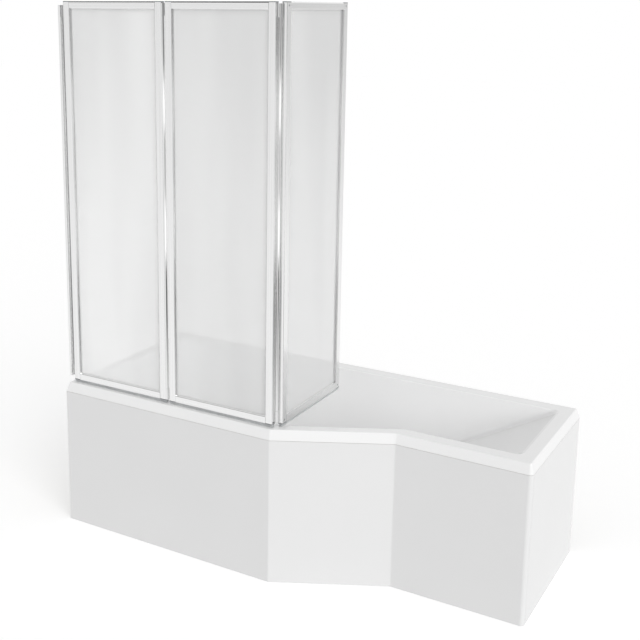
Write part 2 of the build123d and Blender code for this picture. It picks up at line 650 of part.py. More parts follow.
with BuildPart() as trap_body:
    with BuildSketch(WASTE_PLANE):
        with BuildLine():
            Polyline(
                (0, TRAP_BOTTOM),
                (TRAP_CUP / 2 - TRAP_WALL, TRAP_BOTTOM),
                (TRAP_CUP / 2, TRAP_BOTTOM + TRAP_WALL),
                (TRAP_CUP / 2, TRAP_TOP),
                (THREAD_RADIUS, TRAP_TOP),
                (THREAD_RADIUS, WASTE_END - REST_GAP),
                (WASTE_BORE / 2, WASTE_END - REST_GAP),
                (WASTE_BORE / 2, DIP_END),
                (THREAD_RADIUS, DIP_END),
                (THREAD_RADIUS, TRAP_TOP - TRAP_WALL),
                (TRAP_CUP / 2 - TRAP_WALL, TRAP_TOP - TRAP_WALL),
                (TRAP_CUP / 2 - TRAP_WALL, TRAP_BOTTOM + TRAP_WALL),
                (0, TRAP_BOTTOM + TRAP_WALL),
                close=True,
            )
        make_face()
    revolve(axis=WASTE_AXIS)
    outlet_plane = Plane(
        origin=(X_DRAIN, THREAD_RADIUS + TRAP_WALL, OUTLET_HEIGHT), z_dir=(0, 1, 0)
    )
    with BuildSketch(outlet_plane):
        Circle(OUTLET_BORE / 2)
    extrude(amount=TRAP_CUP / 2, mode=Mode.SUBTRACT)
    collar_start = TRAP_CUP / 2 - TRAP_WALL
    for diameter, reach in ((OUTLET_COLLAR, OUTLET_COLLAR_REACH), (OUTLET_DIAMETER, OUTLET_REACH)):
        with BuildSketch(Plane(origin=(X_DRAIN, collar_start, OUTLET_HEIGHT), z_dir=(0, 1, 0))):
            Circle(diameter / 2)
            Circle(OUTLET_BORE / 2, mode=Mode.SUBTRACT)
        extrude(amount=reach - collar_start)
trap_body.part.label = "trap_body"
export_step(trap_body.part, "parts/trap_body.step")

# ================================================================= folding screen
WING_BOTTOM = RIM_HEIGHT + SEAL_GAP + SEAL_HEIGHT
WING_TOP = RIM_HEIGHT + SCREEN_HEIGHT
Y_SCREEN = Y_FRONT + SCREEN_SETBACK + WING_THICKNESS / 2
HINGE_SETOUT = (WING_THICKNESS + FOLD_GAP) / 2  # from a wing's middle plane to its hinge axis
WING_PITCH = WING_WIDTH + 2 * HINGE_HALF_GAP
WALL_HINGE_X = X_LEFT + WALL_CHANNEL_DEPTH + HINGE_HALF_GAP
CORNER_HINGE_X = WALL_HINGE_X + 2 * WING_PITCH
WALL_TUBE = (RIM_HEIGHT + WALL_CHANNEL_BOTTOM, WING_TOP - WALL_CHANNEL_TOP)
WING_TUBE = (WING_BOTTOM + HINGE_END, WING_TOP - HINGE_END)

# A wing's plane has X along the wing from its hinge axis and Y towards the side that faces the
# basin. The third wing stands at a right angle to the second.
WING_PLANES = [
    Plane(origin=(WALL_HINGE_X, Y_SCREEN, 0)),
    Plane(origin=(WALL_HINGE_X + WING_PITCH, Y_SCREEN, 0)),
    Plane(origin=(CORNER_HINGE_X + HINGE_SETOUT, Y_SCREEN + HINGE_SETOUT, 0), x_dir=(0, 1, 0)),
]
INSIDE, OUTSIDE = 1, -1
# Side of each wing's own hinge and of the next wing's hinge, and the side its screws are on.
WING_SIDES = [(INSIDE, OUTSIDE, INSIDE), (OUTSIDE, INSIDE, INSIDE), (INSIDE, None, OUTSIDE)]

STILE_CHAMBER = STILE_WIDTH - GROOVE_DEPTH - 2 * FRAME_WALL
RAIL_CHAMBER = FRAME_RAIL - GROOVE_DEPTH - 2 * FRAME_WALL
CHAMBER_THICKNESS = WING_THICKNESS - 2 * FRAME_WALL
GLASS_WIDTH = WING_WIDTH - 2 * (STILE_WIDTH - GLASS_GRIP)
GLASS_BOTTOM = WING_BOTTOM + FRAME_RAIL - GLASS_GRIP
GLASS_TOP = WING_TOP - FRAME_RAIL + GLASS_GRIP
WING_MIDDLE = HINGE_HALF_GAP + WING_WIDTH / 2


def hinge_section(axis_x, side, joins):
    """Tube round a hinge axis and the web that joins it to the frame on one side of it."""
    web_middle = side * (WING_THICKNESS / 2 - WEB_INSET - WEB_THICKNESS / 2)
    web_length = HINGE_HALF_GAP + FRAME_WALL
    with BuildSketch(mode=Mode.PRIVATE) as section:
        with Locations((axis_x, side * HINGE_SETOUT)):
            Circle(HINGE_RADIUS)
        with Locations((axis_x + joins * web_length / 2, web_middle)):
            Rectangle(web_length, WEB_THICKNESS)
        with Locations((axis_x, side * HINGE_SETOUT)):
            Circle(PIN_RADIUS + RUNNING_CLEARANCE, mode=Mode.SUBTRACT)
    return section.sketch


def stile_section(middle_x, glass_side):
    """Hollow stile with its glazing groove on the side of the glass."""
    with BuildSketch(mode=Mode.PRIVATE) as section:
        with Locations((middle_x, 0)):
            RectangleRounded(STILE_WIDTH, WING_THICKNESS, FRAME_RADIUS)
        with Locations((middle_x + glass_side * (STILE_WIDTH - GROOVE_DEPTH) / 2, 0)):
            Rectangle(GROOVE_DEPTH, GROOVE_WIDTH, mode=Mode.SUBTRACT)
        with Locations((middle_x - glass_side * GROOVE_DEPTH / 2, 0)):
            Rectangle(STILE_CHAMBER, CHAMBER_THICKNESS, mode=Mode.SUBTRACT)
    return section.sketch


def rail_section(glass_side):
    """Hollow rail, drawn about its middle with the glazing groove above or below."""
    with BuildSketch(mode=Mode.PRIVATE) as section:
        RectangleRounded(WING_THICKNESS, FRAME_RAIL, FRAME_RADIUS)
        with Locations((0, glass_side * (FRAME_RAIL - GROOVE_DEPTH) / 2)):
            Rectangle(GROOVE_WIDTH, GROOVE_DEPTH, mode=Mode.SUBTRACT)
        with Locations((0, -glass_side * GROOVE_DEPTH / 2)):
            Rectangle(CHAMBER_THICKNESS, RAIL_CHAMBER, mode=Mode.SUBTRACT)
    return section.sketch


def across(wing, x, z):
    """Plane square to a wing, with its own X towards the basin side and its Y up."""
    return Plane(origin=wing.from_local_coords((x, 0, z)), x_dir=wing.y_dir, z_dir=wing.x_dir)


def end_spans(tube):
    """Heights of the two end knuckles of a hinge tube."""
    low, high = tube
    return [(low, low + KNUCKLE_LENGTH), (high - KNUCKLE_LENGTH, high)]


def middle_span(tube):
    """Heights of the long barrel between the end knuckles."""
    low, high = tube
    reach = KNUCKLE_LENGTH + KNUCKLE_GAP
    return [(low + reach, high - reach)]


HINGE_TUBES = [WALL_TUBE, WING_TUBE, WING_TUBE]
NEAR_STILE_X = HINGE_HALF_GAP + STILE_WIDTH / 2
FAR_STILE_X = HINGE_HALF_GAP + WING_WIDTH - STILE_WIDTH / 2
SCREW_HEIGHTS = (WING_BOTTOM + FRAME_RAIL / 2, WING_TOP - FRAME_RAIL / 2)

# The wall channel and the post that fills it carry the first wing's hinge.
CHANNEL_MIDDLE_X = X_LEFT + WALL_CHANNEL_DEPTH / 2
POST_DEPTH = WALL_CHANNEL_DEPTH - WALL_CHANNEL_SHEET
POST_WIDTH = WING_THICKNESS - 2 * WALL_CHANNEL_SHEET - 2 * RUNNING_CLEARANCE
CHANNEL_HEIGHT = WALL_TUBE[1] - WALL_TUBE[0]

with BuildPart() as wall_channel:
    with BuildSketch(Plane.XY.offset(WALL_TUBE[0])):
        with Locations((CHANNEL_MIDDLE_X, Y_SCREEN)):
            Rectangle(WALL_CHANNEL_DEPTH, WING_THICKNESS)
        with Locations((CHANNEL_MIDDLE_X + WALL_CHANNEL_SHEET / 2, Y_SCREEN)):
            Rectangle(POST_DEPTH, WING_THICKNESS - 2 * WALL_CHANNEL_SHEET, mode=Mode.SUBTRACT)
    extrude(amount=CHANNEL_HEIGHT)
    channel_hole_plane = Plane(
        origin=(X_LEFT, Y_SCREEN, sum(WALL_TUBE) / 2), x_dir=(0, 1, 0), z_dir=(1, 0, 0)
    )
    with BuildSketch(channel_hole_plane):
        with GridLocations(1, CHANNEL_HOLE_SPACING, 1, 3):
            Circle(CHANNEL_HOLE / 2)
    extrude(amount=WALL_CHANNEL_SHEET, mode=Mode.SUBTRACT)
wall_channel.part.label = "wall_channel"
export_step(wall_channel.part, "parts/wall_channel.step")

with BuildPart() as hinge_post:
    post_x = X_LEFT + WALL_CHANNEL_SHEET + POST_DEPTH / 2 - WALL_HINGE_X
    first_wing = WING_PLANES[0]
    with BuildSketch(first_wing.offset(WALL_TUBE[0])):
        with Locations((post_x, 0)):
            Rectangle(POST_DEPTH, POST_WIDTH)
        with Locations((post_x - FRAME_WALL, 0)):
            Rectangle(POST_DEPTH, POST_WIDTH - 2 * FRAME_WALL, mode=Mode.SUBTRACT)
    extrude(amount=CHANNEL_HEIGHT)
    for low, high in end_spans(WALL_TUBE):
        with BuildSketch(first_wing.offset(low)):
            add(hinge_section(0, INSIDE, -1))
        extrude(amount=high - low)
hinge_post.part.label = "hinge_post"
export_step(hinge_post.part, "parts/hinge_post.step")

for number, (wing, tube, sides) in enumerate(zip(WING_PLANES, HINGE_TUBES, WING_SIDES), 1):
    own_side, next_side, screw_side = sides
    screw_face = Plane(
        origin=wing.from_local_coords((0, screw_side * WING_THICKNESS / 2, 0)),
        x_dir=wing.x_dir * -screw_side,
        z_dir=wing.y_dir * screw_side,
    )
    near_screws = [(-screw_side * NEAR_STILE_X, z) for z in SCREW_HEIGHTS]
    far_screws = [(-screw_side * FAR_STILE_X, z) for z in SCREW_HEIGHTS]

    # The first wing's stile carries the long barrel, the others the end knuckles.
    with BuildPart() as hinge_stile:
        with BuildSketch(wing.offset(WING_BOTTOM + CAP_THICKNESS)):
            add(stile_section(NEAR_STILE_X, 1))
        extrude(amount=WING_TOP - WING_BOTTOM - 2 * CAP_THICKNESS)
        for low, high in middle_span(tube) if number == 1 else end_spans(tube):
            with BuildSketch(wing.offset(low)):
                add(hinge_section(0, own_side, 1))
            extrude(amount=high - low)
        with BuildSketch(screw_face):
            with Locations(*near_screws):
                Circle(SCREW_HEAD / 2)
        extrude(amount=-FRAME_WALL, mode=Mode.SUBTRACT)
    hinge_stile.part.label = f"wing_{number}_hinge_stile"
    export_step(hinge_stile.part, f"parts/wing_{number}_hinge_stile.step")

    with BuildPart() as outer_stile:
        with BuildSketch(wing.offset(WING_BOTTOM + CAP_THICKNESS)):
            add(stile_section(FAR_STILE_X, -1))
        extrude(amount=WING_TOP - WING_BOTTOM - 2 * CAP_THICKNESS)
        if next_side is not None:
            for low, high in middle_span(WING_TUBE):
                with BuildSketch(wing.offset(low)):
                    add(hinge_section(WING_PITCH, next_side, -1))
                extrude(amount=high - low)
        with BuildSketch(screw_face):
            with Locations(*far_screws):
                Circle(SCREW_HEAD / 2)
        extrude(amount=-FRAME_WALL, mode=Mode.SUBTRACT)
    outer_stile.part.label = f"wing_{number}_outer_stile"
    export_step(outer_stile.part, f"parts/wing_{number}_outer_stile.step")

    rail_start = HINGE_HALF_GAP + STILE_WIDTH
    rail_heights = {
        "bottom": (WING_BOTTOM + FRAME_RAIL / 2, 1),
        "top": (WING_TOP - FRAME_RAIL / 2, -1),
    }
    for rail_name, (rail_z, glass_side) in rail_heights.items():
        with BuildPart() as frame_rail:
            with BuildSketch(across(wing, rail_start, rail_z)):
                add(rail_section(glass_side))
            extrude(amount=WING_WIDTH - 2 * STILE_WIDTH)
        frame_rail.part.label = f"wing_{number}_{rail_name}_rail"
        export_step(frame_rail.part, f"parts/wing_{number}_{rail_name}_rail.step")

    glass_plane = Plane(
        origin=wing.from_local_coords((WING_MIDDLE, 0, (GLASS_BOTTOM + GLASS_TOP) / 2)),
        x_dir=wing.x_dir,
        z_dir=wing.y_dir * -1,
    )
    with BuildPart() as glass:
        with BuildSketch(glass_plane):
            Rectangle(GLASS_WIDTH, GLASS_TOP - GLASS_BOTTOM)
        extrude(amount=GLASS_THICKNESS / 2, both=True)
    glass.part.label = f"wing_{number}_glass"
    export_step(glass.part, f"parts/wing_{number}_glass.step")

    with BuildPart() as gasket:
        wrap = GROOVE_DEPTH - GLASS_GRIP
        sight = GLASS_GRIP + GASKET_PROUD
        with BuildSketch(glass_plane):
            Rectangle(GLASS_WIDTH + 2 * wrap, GLASS_TOP - GLASS_BOTTOM + 2 * wrap)
            Rectangle(
                GLASS_WIDTH - 2 * sight, GLASS_TOP - GLASS_BOTTOM - 2 * sight, mode=Mode.SUBTRACT
            )
        extrude(amount=GROOVE_WIDTH / 2, both=True)
        with BuildSketch(glass_plane):
            Rectangle(GLASS_WIDTH, GLASS_TOP - GLASS_BOTTOM)
        extrude(amount=GLASS_THICKNESS / 2, both=True, mode=Mode.SUBTRACT)
    gasket.part.label = f"wing_{number}_glazing_gasket"
    export_step(gasket.part, f"parts/wing_{number}_glazing_gasket.step")

    with BuildPart() as bottom_seal:
        with BuildSketch(across(wing, HINGE_HALF_GAP, WING_BOTTOM)):
            Rectangle(SEAL_WIDTH, SEAL_HEIGHT, align=(Align.CENTER, Align.MAX))
            with Locations((0, -SEAL_HEIGHT)):
                Rectangle(
                    SEAL_WIDTH - 2 * SEAL_FIN,
                    SEAL_HEIGHT * 0.6,
                    align=(Align.CENTER, Align.MIN),
                    mode=Mode.SUBTRACT,
                )
        extrude(amount=WING_WIDTH)
    bottom_seal.part.label = f"wing_{number}_bottom_seal"
    export_step(bottom_seal.part, f"parts/wing_{number}_bottom_seal.step")

    with BuildPart() as end_caps:
        with BuildSketch(wing.offset(WING_BOTTOM), wing.offset(WING_TOP - CAP_THICKNESS)):
            with Locations((NEAR_STILE_X, 0), (FAR_STILE_X, 0)):
                RectangleRounded(STILE_WIDTH, WING_THICKNESS, FRAME_RADIUS)
        extrude(amount=CAP_THICKNESS)
    end_caps.part.label = f"wing_{number}_end_caps"
    export_step(end_caps.part, f"parts/wing_{number}_end_caps.step")

    with BuildPart() as frame_screws:
        with BuildSketch(screw_face):
            with Locations(*near_screws, *far_screws):
                Circle(SCREW_HEAD / 2 - RUNNING_CLEARANCE)
        extrude(amount=-FRAME_WALL)
        with BuildSketch(screw_face):
            with Locations(*near_screws, *far_screws):
                Circle(SCREW_HEAD / 4)
        extrude(amount=-WING_THICKNESS / 2)
    frame_screws.part.label = f"wing_{number}_frame_screws"
    export_step(frame_screws.part, f"parts/wing_{number}_frame_screws.step")

    pin_name = "wall_hinge_pins" if number == 1 else f"wing_{number}_hinge_pins"
    with BuildPart() as hinge_pins:
        with BuildSketch(wing.offset(tube[0]), wing.offset(tube[1] - PIN_LENGTH)):
            with Locations((0, own_side * HINGE_SETOUT)):
                Circle(PIN_RADIUS)
        extrude(amount=PIN_LENGTH)
    hinge_pins.part.label = pin_name
    export_step(hinge_pins.part, f"parts/{pin_name}.step")
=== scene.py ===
# %% [markdown]
# # A p shaped shower bath with a folding glass screen
#
# The solids of the bath, its panels, feet, waste and screen come from the CAD model, in metres.
# This lesson gives them a camera, light and finishes, and models the small forms that are too fine
# for CAD: rounded top rails, cross-head screws, threaded feet and chamfered nuts.

# %% Load the frame
import json
from math import cos, pi, radians, sin

import bmesh
import bpy
from mathutils import Matrix, Vector


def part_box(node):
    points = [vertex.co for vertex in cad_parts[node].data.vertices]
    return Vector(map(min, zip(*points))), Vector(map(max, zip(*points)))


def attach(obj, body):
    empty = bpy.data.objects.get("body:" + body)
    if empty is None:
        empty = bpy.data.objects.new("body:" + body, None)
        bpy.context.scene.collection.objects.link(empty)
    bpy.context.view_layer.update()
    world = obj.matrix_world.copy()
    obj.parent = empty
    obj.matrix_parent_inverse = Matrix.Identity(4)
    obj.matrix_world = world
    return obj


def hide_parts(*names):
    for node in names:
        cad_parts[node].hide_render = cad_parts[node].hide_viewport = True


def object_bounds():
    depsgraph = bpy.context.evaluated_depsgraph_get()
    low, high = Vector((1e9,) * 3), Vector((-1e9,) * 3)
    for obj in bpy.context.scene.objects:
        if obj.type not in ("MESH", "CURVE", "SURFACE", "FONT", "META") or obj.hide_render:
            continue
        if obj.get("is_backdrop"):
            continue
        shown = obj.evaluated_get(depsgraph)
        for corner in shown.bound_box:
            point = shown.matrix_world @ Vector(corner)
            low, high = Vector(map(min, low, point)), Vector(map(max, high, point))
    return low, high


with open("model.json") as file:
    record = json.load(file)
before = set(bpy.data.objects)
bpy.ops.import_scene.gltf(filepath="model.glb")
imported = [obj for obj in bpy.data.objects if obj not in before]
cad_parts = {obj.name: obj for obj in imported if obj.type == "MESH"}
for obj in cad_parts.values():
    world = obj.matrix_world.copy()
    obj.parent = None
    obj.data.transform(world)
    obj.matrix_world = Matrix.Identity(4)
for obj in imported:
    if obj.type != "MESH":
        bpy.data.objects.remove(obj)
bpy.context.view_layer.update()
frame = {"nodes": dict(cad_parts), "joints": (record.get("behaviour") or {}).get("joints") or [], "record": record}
MM = 0.001

# %% [markdown]
# ## Camera
#
# The bath is seen from well above its rim and from the right of its front, with a long lens.
# A camera has three axes of its own: X to its right, Y up and Z back towards the viewer. They are
# worked out from where it looks and put into one matrix, which is exact and needs no constraint.

# %% Camera
CAMERA_PLACE = (1.6580, -3.1893, 1.9114)
CAMERA_TURN = radians(31.077)  # away from the +Y direction, to the left
CAMERA_DIP = radians(12.075)
CAMERA_ROLL = radians(0.298)
LENS_MM = 59.03
SHIFT_RIGHT, SHIFT_UP = 0.1036, -0.135

looking = Vector(
    (-sin(CAMERA_TURN) * cos(CAMERA_DIP), cos(CAMERA_TURN) * cos(CAMERA_DIP), -sin(CAMERA_DIP))
)
level_right = Vector((cos(CAMERA_TURN), sin(CAMERA_TURN), 0))
level_up = level_right.cross(looking)
camera_right = cos(CAMERA_ROLL) * level_right + sin(CAMERA_ROLL) * level_up
camera_up = cos(CAMERA_ROLL) * level_up - sin(CAMERA_ROLL) * level_right

camera_data = bpy.data.cameras.new("camera")
camera_data.lens = LENS_MM
camera_data.shift_x = SHIFT_RIGHT
camera_data.shift_y = SHIFT_UP
camera = bpy.data.objects.new("camera", camera_data)
bpy.context.scene.collection.objects.link(camera)
axes = Matrix((camera_right, camera_up, -looking)).transposed()
camera.matrix_world = Matrix.Translation(CAMERA_PLACE) @ axes.to_4x4()
bpy.context.scene.camera = camera
bpy.context.scene.view_settings.view_transform = "Standard"
print("camera looks along", [round(v, 3) for v in looking])

# %% [markdown]
# ## Colours and nodes
#
# Colours are written as sRGB hex values, the way a paint chart or a screen shows them. Shaders
# work with linear light, so one function turns the one into the other. A second function adds any
# shader node with its settings and links, so each material below is a list of its nodes. An input
# is a value, the socket of another node, or a node, which stands for its first output.


# %% Colour and node helpers
def linear(code):
    """Linear RGBA of an sRGB hex colour."""
    parts = [int(code[i : i + 2], 16) / 255 for i in (0, 2, 4)]
    return [c / 12.92 if c <= 0.04045 else ((c + 0.055) / 1.055) ** 2.4 for c in parts] + [1.0]


def add_node(tree, kind, settings=None, inputs=None, stops=()):
    """Adds a node with its properties and inputs. Stops are a ramp's positions and hex colours."""
    made = tree.nodes.new(kind)
    for key, value in (settings or {}).items():
        setattr(made, key, value)
    for key, value in (inputs or {}).items():
        if isinstance(value, bpy.types.Node):
            value = value.outputs[0]
        if isinstance(value, bpy.types.NodeSocket):
            tree.links.new(value, made.inputs[key])
        else:
            made.inputs[key].default_value = value
    for number, (position, code) in enumerate(stops):
        if number > 1:
            made.color_ramp.elements.new(position)
        made.color_ramp.elements[number].position = position
        made.color_ramp.elements[number].color = linear(code)
    return made


def new_material(name):
    """An empty material, with its node tree and its output's surface."""
    material = bpy.data.materials.new(name)
    material.use_nodes = True
    tree = material.node_tree
    tree.nodes.clear()
    return material, tree, add_node(tree, "ShaderNodeOutputMaterial").inputs["Surface"]


print("white is", linear("FFFFFF"), "and mid grey is", round(linear("808080")[0], 3))

# %% [markdown]
# ## Light, backdrop and floor
#
# A glossy white bath wants broad, soft light. The world gives even light from all round, and one
# wide sun from the right and in front makes the wide front, the diagonal and the narrow end differ
# in tone. For the camera and through glass the world is plain white.
#
# Polished metal in a plain white room looks like paper. So a second, reflected world is shown to
# glossy rays alone, as a studio hangs cards round a shiny product: a dark card at the left with one
# white gap in it, a darker one in front on the right with two gaps, a pale one behind with a narrow
# dark one beside it, and a dark ceiling. Rounded edges, hinge tubes and the inner sides of the
# frames then draw thin dark lines with bright stretches. Each card is a ramp of tones over height,
# mixed over the room where a direction lies near the card's middle.

# %% Tones of the reflected room
# Tones stand at heights, which are sines of the angle above the horizon.
# Slightly grey at eye height, paler above and below it, and a dark ceiling.
ROOM = [(-0.30, "E3E3E3"), (0.0, "D6D6D6"), (0.2, "E3E3E3"), (0.46, "E3E3E3"), (0.6, "505050")]
LEFT_CARD = [
    (-0.25, "7B7B7B"),
    (-0.12, "7B7B7B"),
    (-0.09, "FFFFFF"),
    (-0.05, "FFFFFF"),
    (-0.02, "707070"),
]
RIGHT_CARD = [
    (-0.36, "D0D0D0"),
    (-0.31, "989898"),
    (-0.285, "5C5C5C"),
    (-0.245, "5C5C5C"),
    (-0.225, "FFFFFF"),
    (-0.19, "FFFFFF"),
    (-0.17, "B4B4B4"),
    (-0.12, "ACACAC"),
    (-0.105, "FFFFFF"),
    (-0.075, "FFFFFF"),
    (-0.05, "808080"),
    (0.1, "787878"),
]
BACK_CARD = [(-0.24, "E3E3E3"), (-0.06, "CACACA"), (0.1, "C4C4C4")]
SIDE_CARD = [
    (-0.36, "8C8C8C"),
    (-0.24, "787878"),
    (-0.205, "787878"),
    (-0.19, "F0F0F0"),
    (-0.155, "F0F0F0"),
    (-0.145, "989898"),
    (-0.11, "989898"),
    (-0.10, "FFFFFF"),
    (-0.06, "FFFFFF"),
    (-0.05, "707070"),
]
# Each card: its middle as a direction, the cosines at which it starts and is full, and its tones.
CARDS = [
    ((-1.0, 0.15, 0.0), (0.86, 0.96), LEFT_CARD),
    ((0.743, -0.669, 0.0), (0.67, 0.82), RIGHT_CARD),
    ((0.52, 0.85, 0.0), (0.93, 0.98), BACK_CARD),
    ((0.682, 0.731, 0.0), (0.983, 0.990), SIDE_CARD),
]
print("room", len(ROOM), "tones, cards", len(CARDS))

# %% World
AMBIENT = 0.56
REFLECTED_STRENGTH = 1.3  # so that the gaps in the cards are lamps, brighter than paper
LOWEST = -0.4  # where the ramps of tones start; they end 1 higher

world = bpy.data.worlds.new("studio")
bpy.context.scene.world = world
world.use_nodes = True
tree = world.node_tree
tree.nodes.clear()

way = add_node(tree, "ShaderNodeTexCoord").outputs["Generated"]
upward = add_node(tree, "ShaderNodeSeparateXYZ", inputs={"Vector": way}).outputs["Z"]
height = add_node(tree, "ShaderNodeMath", {"operation": "SUBTRACT"}, {0: upward, 1: LOWEST})
stops = [(z - LOWEST, code) for z, code in ROOM]
reflected = add_node(tree, "ShaderNodeValToRGB", inputs={"Fac": height}, stops=stops)
for direction, (start, full), tones in CARDS:
    cosine = add_node(
        tree,
        "ShaderNodeVectorMath",
        {"operation": "DOT_PRODUCT"},
        {0: way, 1: Vector(direction).normalized()},
    )
    cover = add_node(
        tree,
        "ShaderNodeMapRange",
        {"interpolation_type": "SMOOTHSTEP"},
        {"Value": cosine.outputs["Value"], "From Min": start, "From Max": full},
    )
    stops = [(z - LOWEST, code) for z, code in tones]
    card = add_node(tree, "ShaderNodeValToRGB", inputs={"Fac": height}, stops=stops)
    reflected = add_node(
        tree, "ShaderNodeMix", {"data_type": "RGBA"}, {0: cover, 6: reflected, 7: card}
    ).outputs[2]

rays = add_node(tree, "ShaderNodeLightPath").outputs
seen = add_node(
    tree,
    "ShaderNodeMath",
    {"operation": "MAXIMUM"},
    {0: rays["Is Camera Ray"], 1: rays["Is Transmission Ray"]},
)
even = add_node(
    tree, "ShaderNodeBackground", inputs={"Color": linear("FFFFFF"), "Strength": AMBIENT}
)
mirrored = add_node(
    tree, "ShaderNodeBackground", inputs={"Color": reflected, "Strength": REFLECTED_STRENGTH}
)
white = add_node(tree, "ShaderNodeBackground", inputs={"Color": linear("FFFFFF"), "Strength": 1.0})
lighting = add_node(
    tree, "ShaderNodeMixShader", inputs={0: rays["Is Glossy Ray"], 1: even, 2: mirrored}
)
backdrop = add_node(tree, "ShaderNodeMixShader", inputs={0: seen, 1: lighting, 2: white})
add_node(tree, "ShaderNodeOutputWorld", inputs={"Surface": backdrop})
print("even light", AMBIENT, "reflected room", REFLECTED_STRENGTH)

# %% Key light
KEY_STRENGTH, KEY_WIDTH = 0.48, radians(40)
KEY_FROM = Vector((0.75, -0.51, 0.41))

key_data = bpy.data.lights.new("key light", "SUN")
key_data.energy = KEY_STRENGTH * pi  # so that the strength is a share of full white
key_data.angle = KEY_WIDTH
key = bpy.data.objects.new("key light", key_data)
key.rotation_mode = "QUATERNION"
key.rotation_quaternion = KEY_FROM.to_track_quat("Z", "Y")
bpy.context.scene.collection.objects.link(key)
print("key light", KEY_STRENGTH, "from", [round(v, 2) for v in KEY_FROM.normalized()])

# %% [markdown]
# The floor is a wide sheet of white paper. To the camera it glows a little, so that where it is
# lit it meets the white backdrop without a line, and where the bath stands it keeps the shadow.
# Reflections look through it at the white room and its cards, so it draws no line in the glass.

# %% Floor
FLOOR_HALF = 25.0  # metres
FLOOR_COLOR = "E0E0E0"
FLOOR_DROP = 0.2 * MM  # keeps the paper clear of the feet

paper_tone = linear(FLOOR_COLOR)[0]
lit_floor = paper_tone * (AMBIENT + KEY_STRENGTH * KEY_FROM.normalized().z)
floor_glow = 1.0 - lit_floor

paper, tree, surface = new_material("white paper floor")
lit = add_node(tree, "ShaderNodeBsdfDiffuse", inputs={"Color": linear(FLOOR_COLOR)})
glow = add_node(
    tree, "ShaderNodeEmission", inputs={"Color": linear("FFFFFF"), "Strength": floor_glow}
)
glowing = add_node(tree, "ShaderNodeAddShader", inputs={0: lit, 1: glow})
open_air = add_node(tree, "ShaderNodeBsdfTransparent", inputs={"Color": linear("FFFFFF")})
rays = add_node(tree, "ShaderNodeLightPath").outputs
seen = add_node(
    tree,
    "ShaderNodeMath",
    {"operation": "MAXIMUM"},
    {0: rays["Is Camera Ray"], 1: rays["Is Transmission Ray"]},
)
shown = add_node(tree, "ShaderNodeMixShader", inputs={0: seen, 1: lit, 2: glowing})
shown = add_node(
    tree, "ShaderNodeMixShader", inputs={0: rays["Is Glossy Ray"], 1: shown, 2: open_air}
)
tree.links.new(shown.outputs[0], surface)

sheet = bmesh.new()
bmesh.ops.create_grid(sheet, x_segments=1, y_segments=1, size=FLOOR_HALF)
bmesh.ops.translate(sheet, verts=sheet.verts, vec=(0, 0, -FLOOR_DROP))
floor_mesh = bpy.data.meshes.new("floor")
sheet.to_mesh(floor_mesh)
sheet.free()
floor_mesh.materials.append(paper)
floor = bpy.data.objects.new("floor", floor_mesh)
bpy.context.scene.collection.objects.link(floor)
floor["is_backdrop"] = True
print("floor", 2 * FLOOR_HALF, "m wide, glow", round(floor_glow, 3))

# %% [markdown]
# ## Acrylic
#
# The bath is a sheet of cast acrylic, heated and sucked over a mould: a hard, wet-looking gloss
# with the faintest waves where the sheet was stretched. Its back is sprayed with chopped glass
# fibre in resin, which sets rough, matt and a little yellow, with the strands still showing. The
# two sides are one solid. On a drafted shell every back face leans downwards, so the surface's own
# normal tells the side: where it points down, the resin shows.

# %% Resin on the back
STRAND_MM = 22.0
STRAND_WIDTH_MM = 2.5
PATCH_MM = 130.0


def resin_back(tree, place):
    """Shader of resin with chopped glass fibre, sprayed on and left rough."""
    strands = add_node(
        tree,
        "ShaderNodeTexNoise",
        inputs={"Vector": place, "Scale": 1 / (STRAND_MM * MM), "Detail": 8.0},
    )
    fibres = add_node(
        tree,
        "ShaderNodeTexVoronoi",
        {"feature": "DISTANCE_TO_EDGE"},
        {"Vector": place, "Scale": 1 / (STRAND_MM * MM)},
    )
    relief = add_node(
        tree, "ShaderNodeMath", {"operation": "MULTIPLY_ADD"}, {0: fibres, 1: 0.6, 2: strands}
    )
    rough = add_node(
        tree,
        "ShaderNodeBump",
        inputs={"Height": relief, "Strength": 0.5, "Distance": STRAND_WIDTH_MM * MM},
    )
    tones = [(0.35, "D9D5C4"), (0.6, "E6E3D6")]
    resin = add_node(tree, "ShaderNodeValToRGB", inputs={"Fac": strands}, stops=tones)
    patches = add_node(
        tree,
        "ShaderNodeTexNoise",
        inputs={"Vector": place, "Scale": 1 / (PATCH_MM * MM), "Detail": 2.0},
    )
    dullness = add_node(
        tree, "ShaderNodeMapRange", inputs={"Value": patches, "To Min": 0.45, "To Max": 0.7}
    )
    return add_node(
        tree,
        "ShaderNodeBsdfPrincipled",
        inputs={"Base Color": resin, "Roughness": dullness, "IOR": 1.54, "Normal": rough},
    )


print("glass fibre strands", STRAND_WIDTH_MM, "mm wide,", STRAND_MM, "mm apart")

# %% Acrylic bath and panels
WAVE_MM = 350.0
FACES_DOWN = -0.02  # the normal's height below which a face counts as the back


